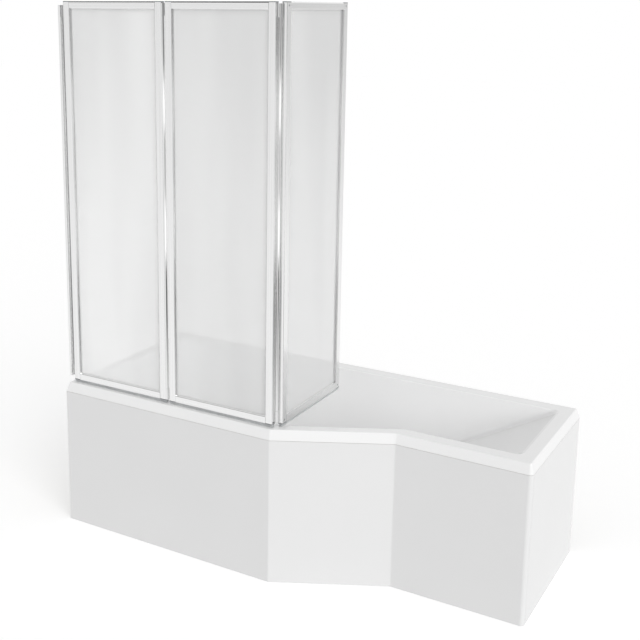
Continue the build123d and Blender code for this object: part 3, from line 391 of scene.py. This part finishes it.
def acrylic(name, face, shade, gloss):
    """Glossy acrylic with a resin back. face and shade are close colours, gloss its roughness."""
    material, tree, surface = new_material(name)
    place = add_node(tree, "ShaderNodeTexCoord").outputs
    wave = add_node(
        tree,
        "ShaderNodeTexNoise",
        inputs={"Vector": place["Object"], "Scale": 1 / (WAVE_MM * MM), "Detail": 1.0},
    )
    tone = add_node(
        tree, "ShaderNodeValToRGB", inputs={"Fac": wave}, stops=[(0.35, face), (0.65, shade)]
    )
    stretch = add_node(
        tree, "ShaderNodeBump", inputs={"Height": wave, "Strength": 0.05, "Distance": 2 * MM}
    )
    front = add_node(
        tree,
        "ShaderNodeBsdfPrincipled",
        inputs={"Base Color": tone, "Roughness": gloss, "IOR": 1.49, "Normal": stretch},
    )

    lean = add_node(tree, "ShaderNodeSeparateXYZ", inputs={"Vector": place["Normal"]})
    is_back = add_node(
        tree, "ShaderNodeMath", {"operation": "LESS_THAN"}, {0: lean.outputs["Z"], 1: FACES_DOWN}
    )
    back = resin_back(tree, place["Object"])
    sides = add_node(tree, "ShaderNodeMixShader", inputs={0: is_back, 1: front, 2: back})
    tree.links.new(sides.outputs[0], surface)
    return material


BATH_ACRYLIC = acrylic("cast acrylic, vacuum formed", "FBFBFB", "FAFAFA", 0.10)
# The panel sheet is given a greyer white than the bath: a painted shade on its upright faces.
SHADED_PANEL_ACRYLIC = acrylic("acrylic panel sheet, painted greyer", "EFEFEF", "EEEEEE", 0.20)
print("acrylic:", BATH_ACRYLIC.name, "and", SHADED_PANEL_ACRYLIC.name)

# %% [markdown]
# ## Aluminium of the screen
#
# The screen's frames are extruded aluminium, brightened in an acid bath and anodised clear: a pale
# metal between satin and mirror. The die leaves fine lines along each length. On the real piece
# they are a tenth of a millimetre wide, too fine to show, so they are drawn a few millimetres
# wide and very faint. Stiles run up and rails run across, and each gets its lines along its length.
#
# The hinge tubes are part of the same extrusions but are buffed, and they show as narrow mirrors.
# The finish finds them by place: metal nearer to a hinge's upright axis than the tube's radius.

# %% Anodised aluminium
DIE_LINE_MM = 2.5
DIE_LENGTH_MM = 600.0
TUBE_MM = 5.8  # a hinge tube's radius and a little more
TUBE_GLOSS = 0.05

HINGE_AXES = [joint["pos_m"][:2] for joint in frame["joints"] if joint["type"] == "hinge"]


def anodised(name, length_mm, hinge_axes=()):
    """Bright anodised aluminium with die lines, whose length along each axis is given.

    The metal within a tube's radius of an upright hinge axis is polished."""
    material, tree, surface = new_material(name)
    place = add_node(tree, "ShaderNodeTexCoord").outputs["Object"]
    drawn = add_node(
        tree,
        "ShaderNodeMapping",
        inputs={"Vector": place, "Scale": [1 / (length * MM) for length in length_mm]},
    )
    lines = add_node(
        tree, "ShaderNodeTexNoise", inputs={"Vector": drawn, "Scale": 1.0, "Detail": 2.0}
    )
    tone = add_node(
        tree, "ShaderNodeValToRGB", inputs={"Fac": lines}, stops=[(0.3, "EBEBEB"), (0.7, "F2F2F2")]
    )
    gloss = add_node(
        tree, "ShaderNodeMapRange", inputs={"Value": lines, "To Min": 0.12, "To Max": 0.20}
    )
    level = add_node(
        tree, "ShaderNodeVectorMath", {"operation": "MULTIPLY"}, {0: place, 1: (1, 1, 0)}
    )
    for x, y in hinge_axes:
        reach = add_node(
            tree, "ShaderNodeVectorMath", {"operation": "DISTANCE"}, {0: level, 1: (x, y, 0)}
        )
        off_tube = add_node(
            tree,
            "ShaderNodeMath",
            {"operation": "GREATER_THAN"},
            {0: reach.outputs["Value"], 1: TUBE_MM * MM},
        )
        gloss = add_node(
            tree,
            "ShaderNodeMapRange",
            inputs={"Value": off_tube, "To Min": TUBE_GLOSS, "To Max": gloss},
        )
    bump = add_node(
        tree, "ShaderNodeBump", inputs={"Height": lines, "Strength": 0.06, "Distance": 0.2 * MM}
    )
    metal = add_node(
        tree,
        "ShaderNodeBsdfPrincipled",
        inputs={"Base Color": tone, "Metallic": 1.0, "Roughness": gloss, "Normal": bump},
    )
    tree.links.new(metal.outputs[0], surface)
    return material


UPRIGHT_ALUMINIUM = anodised(
    "bright anodised aluminium, upright", (DIE_LINE_MM, DIE_LINE_MM, DIE_LENGTH_MM), HINGE_AXES
)
ACROSS_ALUMINIUM = anodised(
    "bright anodised aluminium, across", (DIE_LENGTH_MM, DIE_LINE_MM, DIE_LINE_MM)
)
INWARD_ALUMINIUM = anodised(
    "bright anodised aluminium, inward", (DIE_LINE_MM, DIE_LENGTH_MM, DIE_LINE_MM)
)
print("die lines", DIE_LINE_MM, "by", DIE_LENGTH_MM, "mm")

# %% [markdown]
# ## Glass
#
# The panes are 4 mm toughened glass. White paper seen through them looks a shade greyer, because
# each face turns back a little light and the glass takes some more. Each pane is also given tones
# of its own, paler or greyer for how it stands in the light: a painted shade. In bright, even light
# a pane also shows a pale veil of its own, which softens what stands behind it, so a share of each
# pane is drawn as white instead of clear. Real glass lets light through to what stands behind it,
# but a path tracer draws its shadow nearly black, so for shadow rays the pane is a plain pale
# filter. Toughening leaves faint upright bands, a hand's width apart. The panes are also painted a
# little greyer towards the top, a painted shade.

# %% Toughened glass
BAND_MM = 160.0
BAND_LENGTH_MM = 1300.0
# Each pane's own pair of tones is a painted shade for how that pane stands in the light.
SHADED_PANE_TONES = {1: ("EDEDED", "FAFAFA"), 2: ("E9E9E9", "F3F3F3"), 3: ("E1E1E1", "EBEBEB")}
CLEARNESS = 0.58  # the rest is the veil
# Between these heights each pane is painted greyer upwards, a painted shade at its top.
TOP_SHADE_FROM, TOP_SHADE_TO = 1.10, 1.95  # heights in metres
SHIFT_BELOW, SHIFT_ABOVE = 0.15, -0.25  # of the place between the two tones

PANES = {}
for number, (darker, paler) in SHADED_PANE_TONES.items():
    PANES[number], tree, surface = new_material(f"toughened clear glass, pane {number}")
    place = add_node(tree, "ShaderNodeTexCoord").outputs["Object"]
    upright = add_node(
        tree,
        "ShaderNodeMapping",
        inputs={
            "Vector": place,
            "Scale": [1 / (BAND_MM * MM), 1 / (BAND_MM * MM), 1 / (BAND_LENGTH_MM * MM)],
        },
    )
    bands = add_node(
        tree, "ShaderNodeTexNoise", inputs={"Vector": upright, "Scale": 1.0, "Detail": 1.0}
    )
    # Painted shade: the pane's tone grows greyer towards its top.
    top = add_node(
        tree,
        "ShaderNodeMapRange",
        {"interpolation_type": "SMOOTHSTEP"},
        {
            "Value": add_node(tree, "ShaderNodeSeparateXYZ", inputs={0: place}).outputs["Z"],
            "From Min": TOP_SHADE_FROM,
            "From Max": TOP_SHADE_TO,
            "To Min": SHIFT_BELOW,
            "To Max": SHIFT_ABOVE,
        },
    )
    shade = add_node(tree, "ShaderNodeMath", {"operation": "ADD"}, {0: bands, 1: top})
    tint = add_node(
        tree, "ShaderNodeValToRGB", inputs={"Fac": shade}, stops=[(0.2, darker), (0.7, paler)]
    )
    pane = add_node(
        tree,
        "ShaderNodeBsdfPrincipled",
        inputs={"Base Color": tint, "Roughness": 0.0, "IOR": 1.5, "Transmission Weight": CLEARNESS},
    )
    through = add_node(tree, "ShaderNodeBsdfTransparent", inputs={"Color": linear("F9FAFA")})
    shadow = add_node(tree, "ShaderNodeLightPath").outputs["Is Shadow Ray"]
    pane = add_node(tree, "ShaderNodeMixShader", inputs={0: shadow, 1: pane, 2: through})
    tree.links.new(pane.outputs[0], surface)
print("panes", len(PANES), "with bands", BAND_MM, "mm apart")

# %% [markdown]
# ## Rubber and plastics
#
# The sweep under each wing is clear soft PVC, slightly grained, and light gets into it. The stiles'
# caps are moulded nylon, and the waste's nuts and trap are moulded polypropylene, with the fine
# sparkle of an eroded mould. The grain is far too fine to model, so a noise of its size tilts the
# surface a little, and a second, broad noise keeps the colour from being dead even.

# %% Soft and moulded plastics
GRAIN_MM = 1.2
CLOUD_MM = 48.0


def moulded(name, low, high, roughness, relief, clear=0.0, ior=1.5):
    """Moulded or extruded plastic between two close colours, with a fine grain."""
    material, tree, surface = new_material(name)
    place = add_node(tree, "ShaderNodeTexCoord").outputs["Object"]
    grain = add_node(
        tree,
        "ShaderNodeTexNoise",
        inputs={"Vector": place, "Scale": 1 / (GRAIN_MM * MM), "Detail": 2.0},
    )
    cloud = add_node(
        tree,
        "ShaderNodeTexNoise",
        inputs={"Vector": place, "Scale": 1 / (CLOUD_MM * MM), "Detail": 2.0},
    )
    tone = add_node(
        tree, "ShaderNodeValToRGB", inputs={"Fac": cloud}, stops=[(0.35, low), (0.65, high)]
    )
    bump = add_node(
        tree, "ShaderNodeBump", inputs={"Height": grain, "Strength": relief, "Distance": 0.1 * MM}
    )
    plastic = add_node(
        tree,
        "ShaderNodeBsdfPrincipled",
        inputs={
            "Base Color": tone,
            "Roughness": roughness,
            "IOR": ior,
            "Transmission Weight": clear,
            "Normal": bump,
        },
    )
    tree.links.new(plastic.outputs[0], surface)
    return material


SWEEP_PVC = moulded("clear soft PVC sweep", "DCDEDF", "E6E8E8", 0.30, 0.2, clear=0.5)
CAP_NYLON = moulded("moulded nylon cap", "6C6E70", "76787A", 0.45, 0.3)
WASTE_PLASTIC = moulded("moulded polypropylene", "E4E4E0", "ECECE9", 0.40, 0.3)
SEAL_RUBBER = moulded("black sealing rubber", "1A1A1A", "262626", 0.70, 0.5, ior=1.52)
print("plastics grained at", GRAIN_MM, "mm")

# %% [markdown]
# ## Steel and chrome
#
# Rails, frame and clips are pressed from sheet that was dipped in zinc: a cool grey metal with a
# patchwork of crystals, the spangle, each a few millimetres wide and a little duller or brighter
# than the next. Screws and pins are drawn stainless steel, plain and even. The strip that holds
# each pane is soft PVC under a foil of bright metal, so that it looks like a part of the frame. The
# waste is polished brass under chrome, close to a mirror. A Voronoi pattern gives every cell one
# colour of its own, as a crystal has, so one function makes all of them at different cell sizes.

# %% Steel and chrome
SPANGLE_MM = 9.0


def metal(name, low, high, roughness_low, roughness_high, pattern_mm):
    """Metal whose crystals or polishing marks differ in colour and roughness."""
    material, tree, surface = new_material(name)
    place = add_node(tree, "ShaderNodeTexCoord").outputs["Object"]
    cells = add_node(
        tree, "ShaderNodeTexVoronoi", inputs={"Vector": place, "Scale": 1 / (pattern_mm * MM)}
    )
    shade = add_node(
        tree, "ShaderNodeSeparateColor", inputs={"Color": cells.outputs["Color"]}
    ).outputs
    tone = add_node(
        tree, "ShaderNodeValToRGB", inputs={"Fac": shade["Red"]}, stops=[(0.0, low), (1.0, high)]
    )
    gloss = add_node(
        tree,
        "ShaderNodeMapRange",
        inputs={"Value": shade["Green"], "To Min": roughness_low, "To Max": roughness_high},
    )
    body = add_node(
        tree,
        "ShaderNodeBsdfPrincipled",
        inputs={"Base Color": tone, "Metallic": 1.0, "Roughness": gloss},
    )
    tree.links.new(body.outputs[0], surface)
    return material


ZINC_STEEL = metal("spangled zinc dipped steel", "A9AEB2", "BCC1C4", 0.30, 0.48, SPANGLE_MM)
PLATED_STEEL = metal("zinc plated rod and pad", "B4B5B0", "C2C3BE", 0.24, 0.34, SPANGLE_MM / 3)
STAINLESS = metal("drawn stainless steel", "8E9194", "9B9EA0", 0.22, 0.30, SPANGLE_MM / 4)
FOIL_STRIP = metal("bright foil on a soft PVC strip", "E8E8E8", "F0F0F0", 0.06, 0.09, SPANGLE_MM)
CHROME = metal("polished chrome", "D3D6D8", "D9DBDD", 0.04, 0.07, 3 * SPANGLE_MM)
print("spangle", SPANGLE_MM, "mm")

# %% [markdown]
# ## Chipboard
#
# The board under the basin is chipboard: flat flakes of pine from straw to brown, pressed with
# glue, with darker bark specks between them. A Voronoi pattern has the flakes' hard edges, and a
# finer noise gives each one its fibres.

# %% Chipboard
FLAKE_MM = 5.0

CHIPBOARD, tree, surface = new_material("pressed chipboard")
place = add_node(tree, "ShaderNodeTexCoord").outputs["Object"]
flakes = add_node(
    tree,
    "ShaderNodeTexVoronoi",
    {"distance": "CHEBYCHEV"},
    {"Vector": place, "Scale": 1 / (FLAKE_MM * MM)},
)
flake_shade = add_node(tree, "ShaderNodeSeparateColor", inputs={"Color": flakes.outputs["Color"]})
wood = add_node(
    tree,
    "ShaderNodeValToRGB",
    inputs={"Fac": flake_shade},
    stops=[(0.0, "6E5233"), (0.08, "A98655"), (0.55, "C4A374"), (1.0, "D8BE92")],
)
fibre = add_node(
    tree,
    "ShaderNodeTexNoise",
    inputs={"Vector": place, "Scale": 4 / (FLAKE_MM * MM), "Detail": 3.0},
)
streaks = add_node(
    tree, "ShaderNodeValToRGB", inputs={"Fac": fibre}, stops=[(0.3, "C9C0B2"), (0.7, "FFFFFF")]
)
stained = add_node(
    tree,
    "ShaderNodeMix",
    {"data_type": "RGBA", "blend_type": "MULTIPLY"},
    {0: 0.5, 6: wood, 7: streaks},
)
board_bump = add_node(
    tree, "ShaderNodeBump", inputs={"Height": fibre, "Strength": 0.4, "Distance": 0.4 * MM}
)
board = add_node(
    tree,
    "ShaderNodeBsdfPrincipled",
    inputs={"Base Color": stained.outputs[2], "Roughness": 0.8, "Normal": board_bump},
)
tree.links.new(board.outputs[0], surface)
print("flakes", FLAKE_MM, "mm")

# %% [markdown]
# ## Giving the finishes out
#
# Each solid names a material slot in its record. The slots of pieces that stay as they are get
# their finish here. The screen's metal also needs to know which way each length was extruded.

# %% Finishes of the solids
FINISHES = {
    "white_acrylic": BATH_ACRYLIC,
    "white_panel": SHADED_PANEL_ACRYLIC,
    "chipboard": CHIPBOARD,
    "zinc_steel": ZINC_STEEL,
    "foot_steel": PLATED_STEEL,
    "chrome": CHROME,
    "black_rubber": SEAL_RUBBER,
    "white_plastic": WASTE_PLASTIC,
    "pale_aluminium": UPRIGHT_ALUMINIUM,
    "clear_glass": PANES[1],
    "grey_gasket": FOIL_STRIP,
    "clear_seal": SWEEP_PVC,
    "grey_caps": CAP_NYLON,
    "stainless_screws": STAINLESS,
}

slot_of = {row["node"]: row["material_slot"] for row in frame["record"]["subparts"]}
for name, solid in frame["nodes"].items():
    finish = FINISHES[slot_of[name]]
    if name.endswith("_rail") and name.startswith("wing_3"):
        finish = INWARD_ALUMINIUM
    elif name.endswith("_rail") and name.startswith("wing_"):
        finish = ACROSS_ALUMINIUM
    elif name.endswith("_glass"):
        finish = PANES[int(name.split("_")[1])]
    solid.data.materials.clear()
    solid.data.materials.append(finish)
print(len(frame["nodes"]), "solids finished")

# %% [markdown]
# ## Small helpers for pieces
#
# Every new piece ends in the same way: its mesh gets a material, rides on a body of the model and
# hides the solids it stands for. Repeated shapes are modelled once and copied to their places.

# %% Finishing and copying pieces
NEAR = 0.01 * MM  # points closer than this count as one


def finished(name, mesh, body, slot, material, *stands_for):
    """Turns a bmesh into a finished piece that rides on a body."""
    data = bpy.data.meshes.new(name)
    mesh.to_mesh(data)
    mesh.free()
    data.materials.append(material)
    piece = bpy.data.objects.new(name, data)
    bpy.context.scene.collection.objects.link(piece)
    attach(piece, body)
    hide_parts(*stands_for)
    print(name, len(data.polygons), "faces")
    return piece


def put_copies(target, mesh, matrices):
    """Adds a copy of a mesh to a bmesh at each matrix."""
    for matrix in matrices:
        copy = mesh.copy()
        copy.transform(matrix)
        target.from_mesh(copy)
        bpy.data.meshes.remove(copy)


# %% [markdown]
# ## Top rails of the wings
#
# The top rail of each wing is a closed extrusion with a groove for the glass below. Its upper edges
# are well rounded, so that a wet hand can run along them, and there the polished metal mirrors the
# dark ceiling: a thin dark line along the top of the whole screen. The section starts as a U of
# eight corners, is extruded to the rail's length, and its long outer edges are bevelled.

# %% One top rail
TOP_ROUNDING = 6.0 * MM
LOWER_ROUNDING = 2.0 * MM
ROUNDING_SEGMENTS = 6
GROOVE_HALF, GROOVE_DEEP = 3.5 * MM, 9.0 * MM


def top_rail(low, high):
    """A grooved rail that fills a box, along X, with rounded long edges."""
    mesh = bmesh.new()
    middle = (low.y + high.y) / 2
    section = [
        (low.y, low.z),
        (middle - GROOVE_HALF, low.z),
        (middle - GROOVE_HALF, low.z + GROOVE_DEEP),
        (middle + GROOVE_HALF, low.z + GROOVE_DEEP),
        (middle + GROOVE_HALF, low.z),
        (high.y, low.z),
        (high.y, high.z),
        (low.y, high.z),
    ]
    end = mesh.faces.new([mesh.verts.new((low.x, y, z)) for y, z in section])
    drawn = bmesh.ops.extrude_face_region(mesh, geom=[end], use_keep_orig=True)
    far = [g for g in drawn["geom"] if isinstance(g, bmesh.types.BMVert)]
    bmesh.ops.translate(mesh, verts=far, vec=(high.x - low.x, 0, 0))
    for level, rounding in ((high.z, TOP_ROUNDING), (low.z, LOWER_ROUNDING)):
        corners = [
            e
            for e in mesh.edges
            if abs(e.calc_length() - (high.x - low.x)) < NEAR
            and all(abs(v.co.z - level) < NEAR for v in e.verts)
            and all(abs(abs(v.co.y - middle) - (high.y - middle)) < NEAR for v in e.verts)
        ]
        bmesh.ops.bevel(
            mesh,
            geom=corners,
            offset=rounding,
            affect="EDGES",
            segments=ROUNDING_SEGMENTS,
            profile=0.5,
            material=-1,
        )
    bmesh.ops.recalc_face_normals(mesh, faces=mesh.faces)
    return mesh


print("top edges rounded", round(TOP_ROUNDING / MM, 1), "mm")

# %% Top rails of the three wings
for number in (1, 2, 3):
    node = f"wing_{number}_top_rail"
    low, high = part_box(node)
    if number == 3:  # stands square to the others, so it is made along X and turned
        turn = Matrix.Rotation(pi / 2, 4, "Z")
        corners = [turn.inverted() @ low, turn.inverted() @ high]
        low = Vector([min(c[i] for c in corners) for i in range(3)])
        high = Vector([max(c[i] for c in corners) for i in range(3)])
        mesh = top_rail(low, high)
        mesh.transform(turn)
        drawn_metal = INWARD_ALUMINIUM
    else:
        mesh = top_rail(low, high)
        drawn_metal = ACROSS_ALUMINIUM
    name, wing = f"wing_{number}_rounded_top_rail", f"wing_{number}"
    finished(name, mesh, wing, "pale_aluminium", drawn_metal, node)

# %% [markdown]
# ## Cross-head screws
#
# Each wing's frame is held by four countersunk screws. They are small and dark, and they show as
# dots at the corners. One head is a disc with a shallow crown, and its cross is cut by pushing in
# the faces of a plus: the disc starts as a square grid, whose middle strips make the plus, and
# the outer points are pulled onto a circle.

# %% One screw head
HEAD_CELLS = 11  # an odd number, so that a strip of faces lies on each middle line
CROSS_REACH = 0.62  # of the head's radius
CROSS_TAPER = 0.8
SKIRT_DEPTH = 1.2  # of the cross's depth


def screw_head(radius, crown, depth):
    """A round head facing +Z with its rim at z = 0 and a cross recess."""
    mesh = bmesh.new()
    bmesh.ops.create_grid(mesh, x_segments=HEAD_CELLS, y_segments=HEAD_CELLS, size=radius)
    for v in mesh.verts:
        reach = max(abs(v.co.x), abs(v.co.y))
        span = v.co.xy.length
        if span > 0:
            v.co.xy *= reach / span
        v.co.z = crown * (1 - (reach / radius) ** 2)
    half_strip = radius * 1.01 / HEAD_CELLS
    cross = [
        f
        for f in mesh.faces
        if min(abs(f.calc_center_median().x), abs(f.calc_center_median().y)) < half_strip
        and f.calc_center_median().length < radius * CROSS_REACH
    ]
    pushed = bmesh.ops.extrude_face_region(mesh, geom=cross)
    bmesh.ops.delete(mesh, geom=cross, context="FACES")
    bottom = [g for g in pushed["geom"] if isinstance(g, bmesh.types.BMVert)]
    bmesh.ops.translate(mesh, verts=bottom, vec=(0, 0, -depth))
    bmesh.ops.scale(mesh, verts=bottom, vec=(CROSS_TAPER, CROSS_TAPER, 1))
    skirt = bmesh.ops.extrude_edge_only(mesh, edges=[e for e in mesh.edges if e.is_boundary])
    low = [g for g in skirt["geom"] if isinstance(g, bmesh.types.BMVert)]
    bmesh.ops.translate(mesh, verts=low, vec=(0, 0, -depth * SKIRT_DEPTH))
    bmesh.ops.recalc_face_normals(mesh, faces=mesh.faces)
    made = bpy.data.meshes.new("screw head")
    mesh.to_mesh(made)
    mesh.free()
    return made


FRAME_HEAD = screw_head(radius=2.95 * MM, crown=0.35 * MM, depth=1.3 * MM)
print("screw head", len(FRAME_HEAD.polygons), "faces")

# %% [markdown]
# The places of the heads come from the CAD's own screws: each solid of the node is one loose part,
# and its box gives the middle of the head. The wing's inner or outer face is told by which side
# the head is on.


# %% Boxes of a node's separate solids
def loose_boxes(node):
    """Lowest and highest corner of each separate solid of a CAD node, from left to right."""
    mesh = bmesh.new()
    mesh.from_mesh(frame["nodes"][node].data)
    bmesh.ops.remove_doubles(mesh, verts=mesh.verts, dist=2 * NEAR)
    left = set(mesh.verts)
    boxes = []
    while left:
        group = {left.pop()}
        newest = group
        while newest:
            newest = {e.other_vert(v) for v in newest for e in v.link_edges} & left
            left -= newest
            group |= newest
        low = Vector([min(v.co[i] for v in group) for i in range(3)])
        high = Vector([max(v.co[i] for v in group) for i in range(3)])
        boxes.append((low, high))
    mesh.free()
    return sorted(boxes, key=lambda box: tuple(box[0]))


print("frame screws", [len(loose_boxes(f"wing_{n}_frame_screws")) for n in (1, 2, 3)])


# %% Screws of the wings
def facing(place, direction):
    """Matrix that takes +Z to a direction and the origin to a place."""
    turn = Vector(direction).to_track_quat("Z", "Y").to_matrix().to_4x4()
    return Matrix.Translation(place) @ turn


for number in (1, 2, 3):
    node = f"wing_{number}_frame_screws"
    low_all, high_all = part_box(f"wing_{number}_top_rail")
    axis = 0 if number == 3 else 1
    middle = (low_all[axis] + high_all[axis]) / 2
    places = []
    for low, high in loose_boxes(node):
        centre = (low + high) / 2
        outward = 1 if centre[axis] > middle else -1
        centre[axis] = high[axis] if outward > 0 else low[axis]
        direction = [0, 0, 0]
        direction[axis] = outward
        places.append(facing(centre, direction))
    mesh = bmesh.new()
    put_copies(mesh, FRAME_HEAD, places)
    name, wing = f"wing_{number}_screw_heads", f"wing_{number}"
    finished(name, mesh, wing, "stainless_screws", STAINLESS, node)

# %% [markdown]
# ## Threaded feet
#
# Each foot is a pressed steel pad under a threaded rod. A thread is one tooth's outline turned
# round the rod while it climbs: bmesh's spin does that when it is given a step along the axis. The
# pad's outline is spun without a step.

# %% Spinning an outline
STEPS = 16


def spun(mesh, outline, angle=2 * pi, climb=(0, 0, 0), steps=STEPS):
    """Spins an outline of (radius, height) points round Z. A climb makes it a screw."""
    verts = [mesh.verts.new((r, 0, z)) for r, z in outline]
    edges = [mesh.edges.new(pair) for pair in zip(verts, verts[1:])]
    bmesh.ops.spin(
        mesh,
        geom=verts + edges,
        cent=(0, 0, 0),
        axis=(0, 0, 1),
        dvec=climb,
        angle=angle,
        steps=steps,
        use_merge=not any(climb),
    )


print("one turn of a screw has", STEPS, "steps")

# %% Feet
ROD_RADIUS = 5.0 * MM
THREAD_PITCH = 3.0 * MM  # coarser than the real 1.5 mm, so that it shows
THREAD_DEPTH = 0.9 * MM
PAD_RADIUS = 23.0 * MM
PAD_EDGE = 4.0 * MM  # height of its turned-down edge
PAD_NECK = 12.0 * MM  # height at which the rod leaves it
PAD_STEPS = 40


def foot(top):
    """A foot that stands on z = 0 with its rod's end at top."""
    mesh = bmesh.new()
    root = ROD_RADIUS - THREAD_DEPTH
    spun(
        mesh,
        [
            (0, 1.5 * MM),  # the hollow under the pad
            (PAD_RADIUS - 4 * MM, 1.5 * MM),
            (PAD_RADIUS - 2.5 * MM, 0),  # the ring that it stands on
            (PAD_RADIUS - 0.6 * MM, 0),
            (PAD_RADIUS, 0.6 * MM),
            (PAD_RADIUS, PAD_EDGE - 1.2 * MM),
            (PAD_RADIUS - 1.5 * MM, PAD_EDGE + 0.5 * MM),
            (0.6 * PAD_RADIUS, PAD_NECK - 4.5 * MM),  # the slope up to the rod's socket
            (2.2 * ROD_RADIUS, PAD_NECK - 1.5 * MM),
            (2 * ROD_RADIUS, PAD_NECK),
            (root, PAD_NECK),
        ],
        steps=PAD_STEPS,
    )
    turns = int((top - PAD_NECK) / THREAD_PITCH)
    start = PAD_NECK - 0.5 * THREAD_PITCH
    spun(
        mesh,
        [
            (root, start),
            (ROD_RADIUS, start + 0.4 * THREAD_PITCH),
            (ROD_RADIUS, start + 0.6 * THREAD_PITCH),
            (root, start + THREAD_PITCH),
        ],
        angle=2 * pi * turns,
        climb=(0, 0, THREAD_PITCH / STEPS),
        steps=turns * STEPS,
    )
    spun(mesh, [(root, start), (root, top - 0.5 * MM), (root - 0.8 * MM, top), (0, top)])
    bmesh.ops.remove_doubles(mesh, verts=mesh.verts, dist=NEAR)
    bmesh.ops.recalc_face_normals(mesh, faces=mesh.faces)
    made = bpy.data.meshes.new("foot")
    mesh.to_mesh(made)
    mesh.free()
    return made


mesh = bmesh.new()
for low, high in loose_boxes("feet"):
    middle = (low + high) / 2
    put_copies(mesh, foot(high.z - low.z), [Matrix.Translation((middle.x, middle.y, low.z))])
finished("threaded_feet", mesh, "bath", "foot_steel", PLATED_STEEL, "feet")

# %% [markdown]
# The lock nuts are hexagons whose corners are turned down at both ends. A bevel of a hexagon's rim
# would cut its flats too. So the round blank, with its bore and its two slopes, is spun first, and
# six planes then cut the flats off it, which leaves the curved chamfer of a real nut.

# %% Lock nuts
CHAMFER_HEIGHT = 0.72 * MM
CHAMFER_START = 0.97  # of half the width across flats
NUT_STEPS = 24


def hex_nut(across_flats, height, bore):
    """A chamfered hexagon nut standing on z = 0."""
    mesh = bmesh.new()
    corner = across_flats / 2 / cos(pi / 6)
    start = across_flats / 2 * CHAMFER_START
    spun(
        mesh,
        [
            (bore, 0),
            (start, 0),
            (corner, CHAMFER_HEIGHT),
            (corner, height - CHAMFER_HEIGHT),
            (start, height),
            (bore, height),
            (bore, 0),
        ],
        steps=NUT_STEPS,
    )
    for side in range(6):
        angle = side * pi / 3
        out = Vector((cos(angle), sin(angle), 0))
        bmesh.ops.bisect_plane(
            mesh,
            geom=mesh.verts[:] + mesh.edges[:] + mesh.faces[:],
            plane_co=out * across_flats / 2,
            plane_no=out,
            clear_outer=True,
        )
        cut = [e for e in mesh.edges if e.is_boundary]
        bmesh.ops.edgeloop_fill(mesh, edges=cut)
    bmesh.ops.remove_doubles(mesh, verts=mesh.verts, dist=NEAR)
    bmesh.ops.recalc_face_normals(mesh, faces=mesh.faces)
    made = bpy.data.meshes.new("nut")
    mesh.to_mesh(made)
    mesh.free()
    return made


mesh = bmesh.new()
nut_boxes = loose_boxes("lock_nuts")
nut_low, nut_high = nut_boxes[0]
nut_size = nut_high - nut_low
NUT = hex_nut(min(nut_size.xy), nut_high.z - nut_low.z, ROD_RADIUS)
turned = Matrix.Rotation(pi / 2 if nut_size.x > nut_size.y else 0, 4, "Z")
places = [
    Matrix.Translation(((low.x + high.x) / 2, (low.y + high.y) / 2, low.z)) @ turned
    for low, high in nut_boxes
]
put_copies(mesh, NUT, places)
finished("chamfered_lock_nuts", mesh, "bath", "zinc_steel", PLATED_STEEL, "lock_nuts")

# %% [markdown]
# ## Sizes
#
# The dressed model must not outgrow its CAD box, so the box of the dressed model is measured.

# %% Measure the dressed model's box
low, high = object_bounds()
